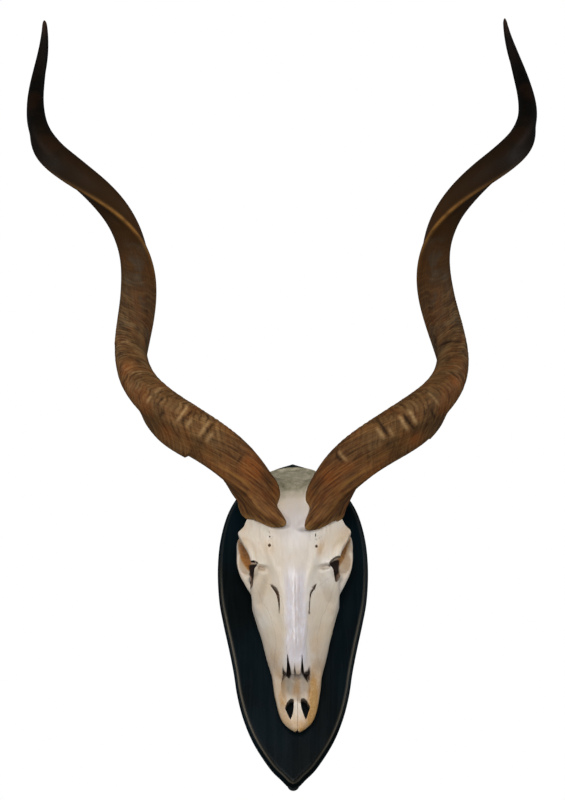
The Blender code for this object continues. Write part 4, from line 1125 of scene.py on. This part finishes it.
def skull_cutters():
    """Shapes cut from the skull: nose passage and the troughs of its floor, eye hollows, a hole at the nape
    and tooth grooves.
    """
    shapes = []

    def shape():
        shapes.append(bmesh.new())
        return shapes[-1]

    # Nose passage under the nasal bones, and the two troughs of its floor beside a low middle ridge
    add_ball(shape(), *NOSE_TUNNEL)
    for centre, radii in NOSE_TROUGHS:
        add_ball(shape(), centre, radii)
    for side in (-1, 1):
        bm = shape()
        matrix = eye_matrix(side) @ Matrix.Translation((0, 0, -6 * MM))
        matrix = matrix @ Matrix.Diagonal((EYE_HOLLOW[0] * MM, EYE_HOLLOW[1] * MM, EYE_HOLLOW[2] * MM, 1))
        bmesh.ops.create_uvsphere(bm, u_segments=48, v_segments=28, radius=1.0, matrix=matrix)
    add_ball(shape(), (0, 214, 36), (10, 22, 9))
    for side in (-1, 1):
        gap = FIT_GAP / MM
        length = sum(CROWN_LENGTHS)
        wide = teeth_loop(side, CROWN_WIDTH / MM + 2 * gap + 1.6, -2, length + 2)
        narrow = teeth_loop(side, ROOT_WIDTH / MM + 2 * gap, 1 - gap, length - 1 + gap)
        top = CROWN_TOP / MM + gap
        add_loops(shape(), [[place(x, z, -5) for x, z in wide], [place(x, z, top) for x, z in wide],
                            [place(x, z, top + 0.01) for x, z in narrow],
                            [place(x, z, ROOT_TOP / MM + gap) for x, z in narrow]])
    return shapes


def outline_distance(x, z, outline):
    """Distance from an outline in millimetres, less than zero inside it."""
    ring = spline(outline, 3, closed=True)
    nearest = np.full(len(x), 1e9)
    inside = np.zeros(len(x), dtype=bool)
    for (ax, az), (bx, bz) in zip(ring, np.roll(ring, -1, axis=0)):
        along, up = bx - ax, bz - az
        t = np.clip(((x - ax) * along + (z - az) * up) / (along ** 2 + up ** 2 + 1e-9), 0, 1)
        nearest = np.minimum(nearest, np.hypot(x - ax - t * along, z - az - t * up))
        if up:
            inside ^= ((az > z) != (bz > z)) & (x < ax + (z - az) * along / up)
    return np.where(inside, -nearest, nearest)


def curve_offset(x, z, points):
    """Signed sideways distance from a seam given as (sideways, up) points, upward along the wall."""
    across, up = np.array(points, dtype=float).T
    return x - np.interp(z, up, across)


def skull_marks(mesh, x, z, depth):
    """Where the bone is stained, glossy, porous or seamed, and where shade and sheen are painted on it, from
    the place on the skull.
    """
    normals = normal_array(mesh)
    ax = np.abs(x + 1.8 * noise(x / 7, z / 12, depth / 9, 33))
    front = smoothstep(0.15, 0.5, -normals[:, 1])
    wide = noise(x / 26, z / 26, depth / 26, 31)
    right = x > 0

    def spot(across, across_width, up, up_width):
        return bell(ax, across, across_width) * bell(z, up, up_width)

    def central(inner, outer):
        return 1 - smoothstep(inner, outer, ax)

    # Hollows, where the surface lies deeper than its surroundings: brown staining and painted shade
    rounds = neighbour_mean(mesh, vertex_array(mesh), 14)
    inward = ((rounds - vertex_array(mesh)) * normals).sum(1) / MM
    hollow = np.clip(neighbour_mean(mesh, inward, 2)[:, 0] / 1.1, 0, 1)
    # Ochre: inner walls of the eye sockets, the nose, the rims of small holes and the lower face. In the eye
    # sockets and on the nose's inner walls it is also painted shade
    ex, ez, ed = EYE_CENTRE
    socket = bell(np.sqrt((ax - ex + 8) ** 2 + (z - ez) ** 2 + (depth - ed + 12) ** 2), 0, 30)
    inner_eye = socket * smoothstep(6, -6, depth - 118) * smoothstep(52, 62, ax)
    nose_wall = smoothstep(-80, -124, z) * bell(ax, 21, 9) * smoothstep(-178, -150, z)
    nose_wall = nose_wall * np.where(right, 0.7, 0.5)
    prow = smoothstep(-136, -176, z) * 0.7
    spine = bell(ax, 1.5, 4.5) * smoothstep(-86, -104, z) * smoothstep(-146, -118, z) * 0.7
    lower_face = smoothstep(-20, -100, z) * smoothstep(14, 26, ax) * 0.4
    lens = 0.0
    seen = z - SIGHT_RISE * (EYE_LENS_DEPTH - depth)
    for outline, strength in zip(EYE_LENSES, EYE_LENS_STRENGTH):
        inside = 1 - smoothstep(-2.5, 2.0, outline_distance(x, seen, outline))
        lens = np.maximum(lens, strength * inside * smoothstep(112, 104, depth))
    ochre = (0.35 * inner_eye + 1.1 * lens + 0.35 * spot(76, 10, 86, 20) + nose_wall + prow + spine
             + 0.55 * spot(37, 8, 70, 12) + 0.12 * spot(50, 10, -2, 20) + lower_face + 0.12 * wide + 0.04)
    # Glossy nasal bones and forehead with a painted sheen, painted shade on the crown, and the shadowed nose
    # tip painted grey
    nasal = central(9, 22) * band(z, -108, -80, 20, 66) * front
    nasal = np.maximum(nasal, 0.6 * central(4, 34) * bell(z, 108, 34) * front)
    shaded_crown = smoothstep(136, 172, z + 6 * wide - 0.1 * x) * smoothstep(40, 60, depth)
    grey = smoothstep(-96, -103, z) * smoothstep(-130, -112, z) * bell(ax, 10, 6) * np.where(right, 0.45, 0.7)
    porous = (0.7 * spot(6, 5, -117, 9) + 0.6 * spot(34, 10, 84, 12) + 0.35 * spot(8, 14, 172, 12)
              + 0.25 * prow)
    darker_middle = np.maximum(central(18, 48) * bell(z, 62, 26), 0.75 * central(4, 12) * band(z, -90, -60, 20, 40))
    # Painted shade on the walls and floors of the openings, and on what is seen through them
    deep = smoothstep(12, -4, depth - 60) * bell(ax, 0, 26)
    deep = deep * smoothstep(-100, -84, z) * smoothstep(-20, -50, z)
    facing = smoothstep(0.2, 0.6, -normals[:, 1])
    for outlines, low, _ in OPENINGS:
        reach = (depth > low - 3) * (smoothstep(-109, -104, z) if outlines is NASAL_CORNERS else 1.0)
        for outline in outlines:
            off = outline_distance(x, z, outline)
            within = (1 - smoothstep(-1.0, -0.3, off)) * reach
            wall = (1 - smoothstep(0.6, 1.6, off)) * (1 - facing) * reach
            deep = np.maximum(deep, np.maximum(within, wall))
    nose_openings = NASAL_SLITS + NASAL_CORNERS
    for outlines, level in ((UNDER_NASALS, UNDER_DEPTH), (nose_openings, UNDER_DEPTH),
                            (EYE_CORNERS, EYE_LENS_DEPTH)):
        seen = z - SIGHT_RISE * (level - depth)
        behind = smoothstep(level - 8, level - 14, depth)
        if outlines is nose_openings:
            behind = behind * smoothstep(-111, -107, seen)
        for outline in outlines:
            deep = np.maximum(deep, (1 - smoothstep(-0.8, 1.2, outline_distance(x, seen, outline))) * behind)
    for name, values in (
            ("lens", lens), ("ochre", ochre), ("nasal", nasal), ("shaded_crown", shaded_crown), ("grey", grey),
            ("porous", porous), ("hollow", hollow * (1 - 0.9 * spot(47, 10, 60, 16))),
            ("darker_middle", darker_middle * front), ("dark", deep)):
        add_share(mesh, name, values)
    # Seams: the distance from each, and how clearly it shows
    for name, off, shown in (
            ("seam_middle", x + 0.4 * noise(z / 5, 0, 0, 41),
             front * (0.9 * smoothstep(-122, -136, z) + 0.16 * band(z, -92, -80, 44, 60))),
            ("seam_side", curve_offset(ax, z, SIDE_SEAM), front * band(z, -96, -84, 28, 40) * 0.4),
            ("seam_cross", curve_offset(ax, z, CROSS_SEAM), band(z, -108, -96, 14, 30) * 0.35)):
        add_value(mesh, name, off)
        add_value(mesh, name + "_shown", shown)


def build_skull(mat):
    bm = bmesh.new()
    skull_forms(bm)
    for horn in (HORN_LEFT, HORN_RIGHT):
        add_pedicel(bm, horn)
    form = object_from_bmesh("skull_form", bm)
    fuse(form, SKULL_VOXEL, SKULL_SOFTEN)
    solid_mesh = baked(form)
    # The face leans to the left of the skull's middle plane
    points = vertex_array(solid_mesh)
    x, z, depth = points[:, 0] / MM, points[:, 2] / MM, -points[:, 1] / MM
    shift = FACE_SHIFT * smoothstep(50, 84, depth) * (1 - smoothstep(40, 70, np.abs(x)))
    points[:, 0] -= shift * smoothstep(-125, -105, z) * (1 - smoothstep(96, 120, z)) * MM
    set_vertices(solid_mesh, points)
    solid = add_object("skull_solid", solid_mesh)
    guides = [object_from_bmesh("skull_guide", shape) for shape in skull_cutters()]
    for horn in (HORN_LEFT, HORN_RIGHT):
        bm = bmesh.new()
        positions = np.linspace(0, SEAT_REACH, SEAT_RINGS)
        add_loops(bm, horn_foot_loops(horn, positions, grow=SEAT_GAP, sink=BASE_SINK + SEAT_GAP))
        guides.append(object_from_bmesh("seat_guide", bm))
    for guide in guides:
        cut(solid, guide, "MANIFOLD")
    skin = add_object("skull_skin", baked(solid))
    fuse(skin, SKIN_VOXEL, SKIN_SOFTEN)
    mesh = baked(skin)
    total = 2 * len(mesh.polygons)
    if total > SKULL_TRIANGLES:
        whole = add_object("skull_whole", mesh)
        modify(whole, "DECIMATE", ratio=SKULL_TRIANGLES / total)
        mesh = baked(whole)
        discard(whole)
    discard(form, solid, skin, *guides)
    crisp = add_object("skull_crisp", mesh)
    guides = []
    for outlines, low, high in OPENINGS:
        bm = bmesh.new()
        for outline in outlines:
            add_prism(bm, outline, low, high)
        guides.append(object_from_bmesh("opening_guide", bm))
        cut(crisp, guides[-1], "MANIFOLD")
    mesh = baked(crisp)
    discard(crisp, *guides)

    # Uneven bone, with shallow grooves along the seams of the nasal bones
    local = vertex_array(mesh) / MM
    x, z, depth = local[:, 0], local[:, 2], -local[:, 1]
    swell = 0.5 * noise(x / 17, z / 21, depth / 17, 51) + 0.22 * noise(x / 6, z / 9, depth / 6, 52)
    seam = bell(x, 0, 1.1) * band(z, -94, -84, 20, 44) * (depth > 84)
    nasal_edge = bell(np.abs(x) - 0.03 * (z + 60), 15, 1.3) * band(z, -98, -88, -20, 0) * (depth > 74)
    lift = (swell - 0.3 * seam - 0.3 * nasal_edge) * MM
    set_vertices(mesh, vertex_array(mesh) + normal_array(mesh) * lift[:, None])
    skull_marks(mesh, x, z, depth)
    mesh.transform(SKULL_FRAME)
    piece = add_object("skull_bone", mesh, mat)
    mesh.set_sharp_from_angle(angle=SKULL_CREASE)
    return piece


# Build
materials = {
    "bone": bone_material(), "horn": horn_material(), "ebonised_wood": wood_material(),
    "enamel": enamel_material(), "steel": steel_material(),
}
pieces = {
    "plaque": (build_plaque(materials["ebonised_wood"]), "ebonised_wood"),
    "horn_left": (build_horn("horn_left_sheath", HORN_LEFT, materials["horn"]), "horn"),
    "horn_right": (build_horn("horn_right_sheath", HORN_RIGHT, materials["horn"]), "horn"),
    "skull": (build_skull(materials["bone"]), "bone"),
}
for node, (piece, slot) in pieces.items():
    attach(piece, "root")
    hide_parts(node)
for node, slot in (("cheek_teeth_left", "enamel"), ("cheek_teeth_right", "enamel"),
                   ("fixing_screw_upper", "steel"), ("fixing_screw_lower", "steel")):
    for material_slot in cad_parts[node].material_slots:
        material_slot.material = materials[slot]


# Camera, light and floor
# Lights: name, place, what they face, width, height, power and colour
LIGHTS = [
    ("front_light", (-0.15, -3.6, -0.6), (0, 0, 0.2), 1.0, 1.5, 59, (1, 1, 1)),
    ("high_light", (-0.9, -2.6, 2.3), (0, 0, 0.2), 1.6, 1.2, 26, (1.0, 0.98, 0.95)),
    ("side_light", (2.6, -1.2, 0.6), (0, 0, 0.1), 0.8, 1.8, 26, (0.97, 0.98, 1.0)),
    ("far_side_light", (-2.6, -1.2, 0.3), (0, 0, 0.1), 0.8, 1.8, 21, (0.97, 0.98, 1.0)),
]
# What surrounds the trophy: its light, and how it looks to the viewer
AROUND_LIGHT = (0.075, 0.085, 0.095, 1)
AROUND_SEEN = (1.0, 1.0, 1.0, 1)
FLOOR_HEIGHT = -2.3
FLOOR_SIZE = 6.0


def add_light(name, place, target, width, height, power, colour):
    data = bpy.data.lights.new(name, "AREA")
    data.shape = "RECTANGLE"
    data.size = width
    data.size_y = height
    data.energy = power
    data.color = colour
    lamp = bpy.data.objects.new(name, data)
    bpy.context.scene.collection.objects.link(lamp)
    lamp.location = place
    lamp.rotation_euler = (Vector(target) - Vector(place)).to_track_quat("-Z", "Y").to_euler()


scene = bpy.context.scene
camera_data = bpy.data.cameras.new("camera")
camera_data.lens = CAMERA_LENS
camera_data.sensor_width = 36
camera_data.sensor_fit = "VERTICAL"
camera_data.sensor_height = 36
camera = bpy.data.objects.new("camera", camera_data)
scene.collection.objects.link(camera)
camera.location = CAMERA_PLACE
camera.rotation_euler = (math.radians(90) + CAMERA_PITCH, 0, 0)
scene.camera = camera

for row in LIGHTS:
    add_light(*row)
bpy.data.objects["high_light"].visible_glossy = False

world = bpy.data.worlds.new("studio")
scene.world = world
world.use_nodes = True
tree = world.node_tree
background = tree.nodes["Background"]
path = tree.nodes.new("ShaderNodeLightPath")
blend = tree.nodes.new("ShaderNodeMix")
blend.data_type = "RGBA"
blend.inputs[6].default_value = AROUND_LIGHT
blend.inputs[7].default_value = AROUND_SEEN
tree.links.new(path.outputs["Is Camera Ray"], blend.inputs["Factor"])
tree.links.new(blend.outputs[2], background.inputs["Color"])
scene.view_settings.view_transform = "Standard"

bm = bmesh.new()
bmesh.ops.create_grid(bm, x_segments=1, y_segments=1, size=FLOOR_SIZE,
                      matrix=Matrix.Translation((0, 0, FLOOR_HEIGHT)))
floor = object_from_bmesh("floor", bm, floor_material())
# The floor's own pallor doesn't light the trophy
floor.visible_diffuse = False
floor.visible_glossy = False
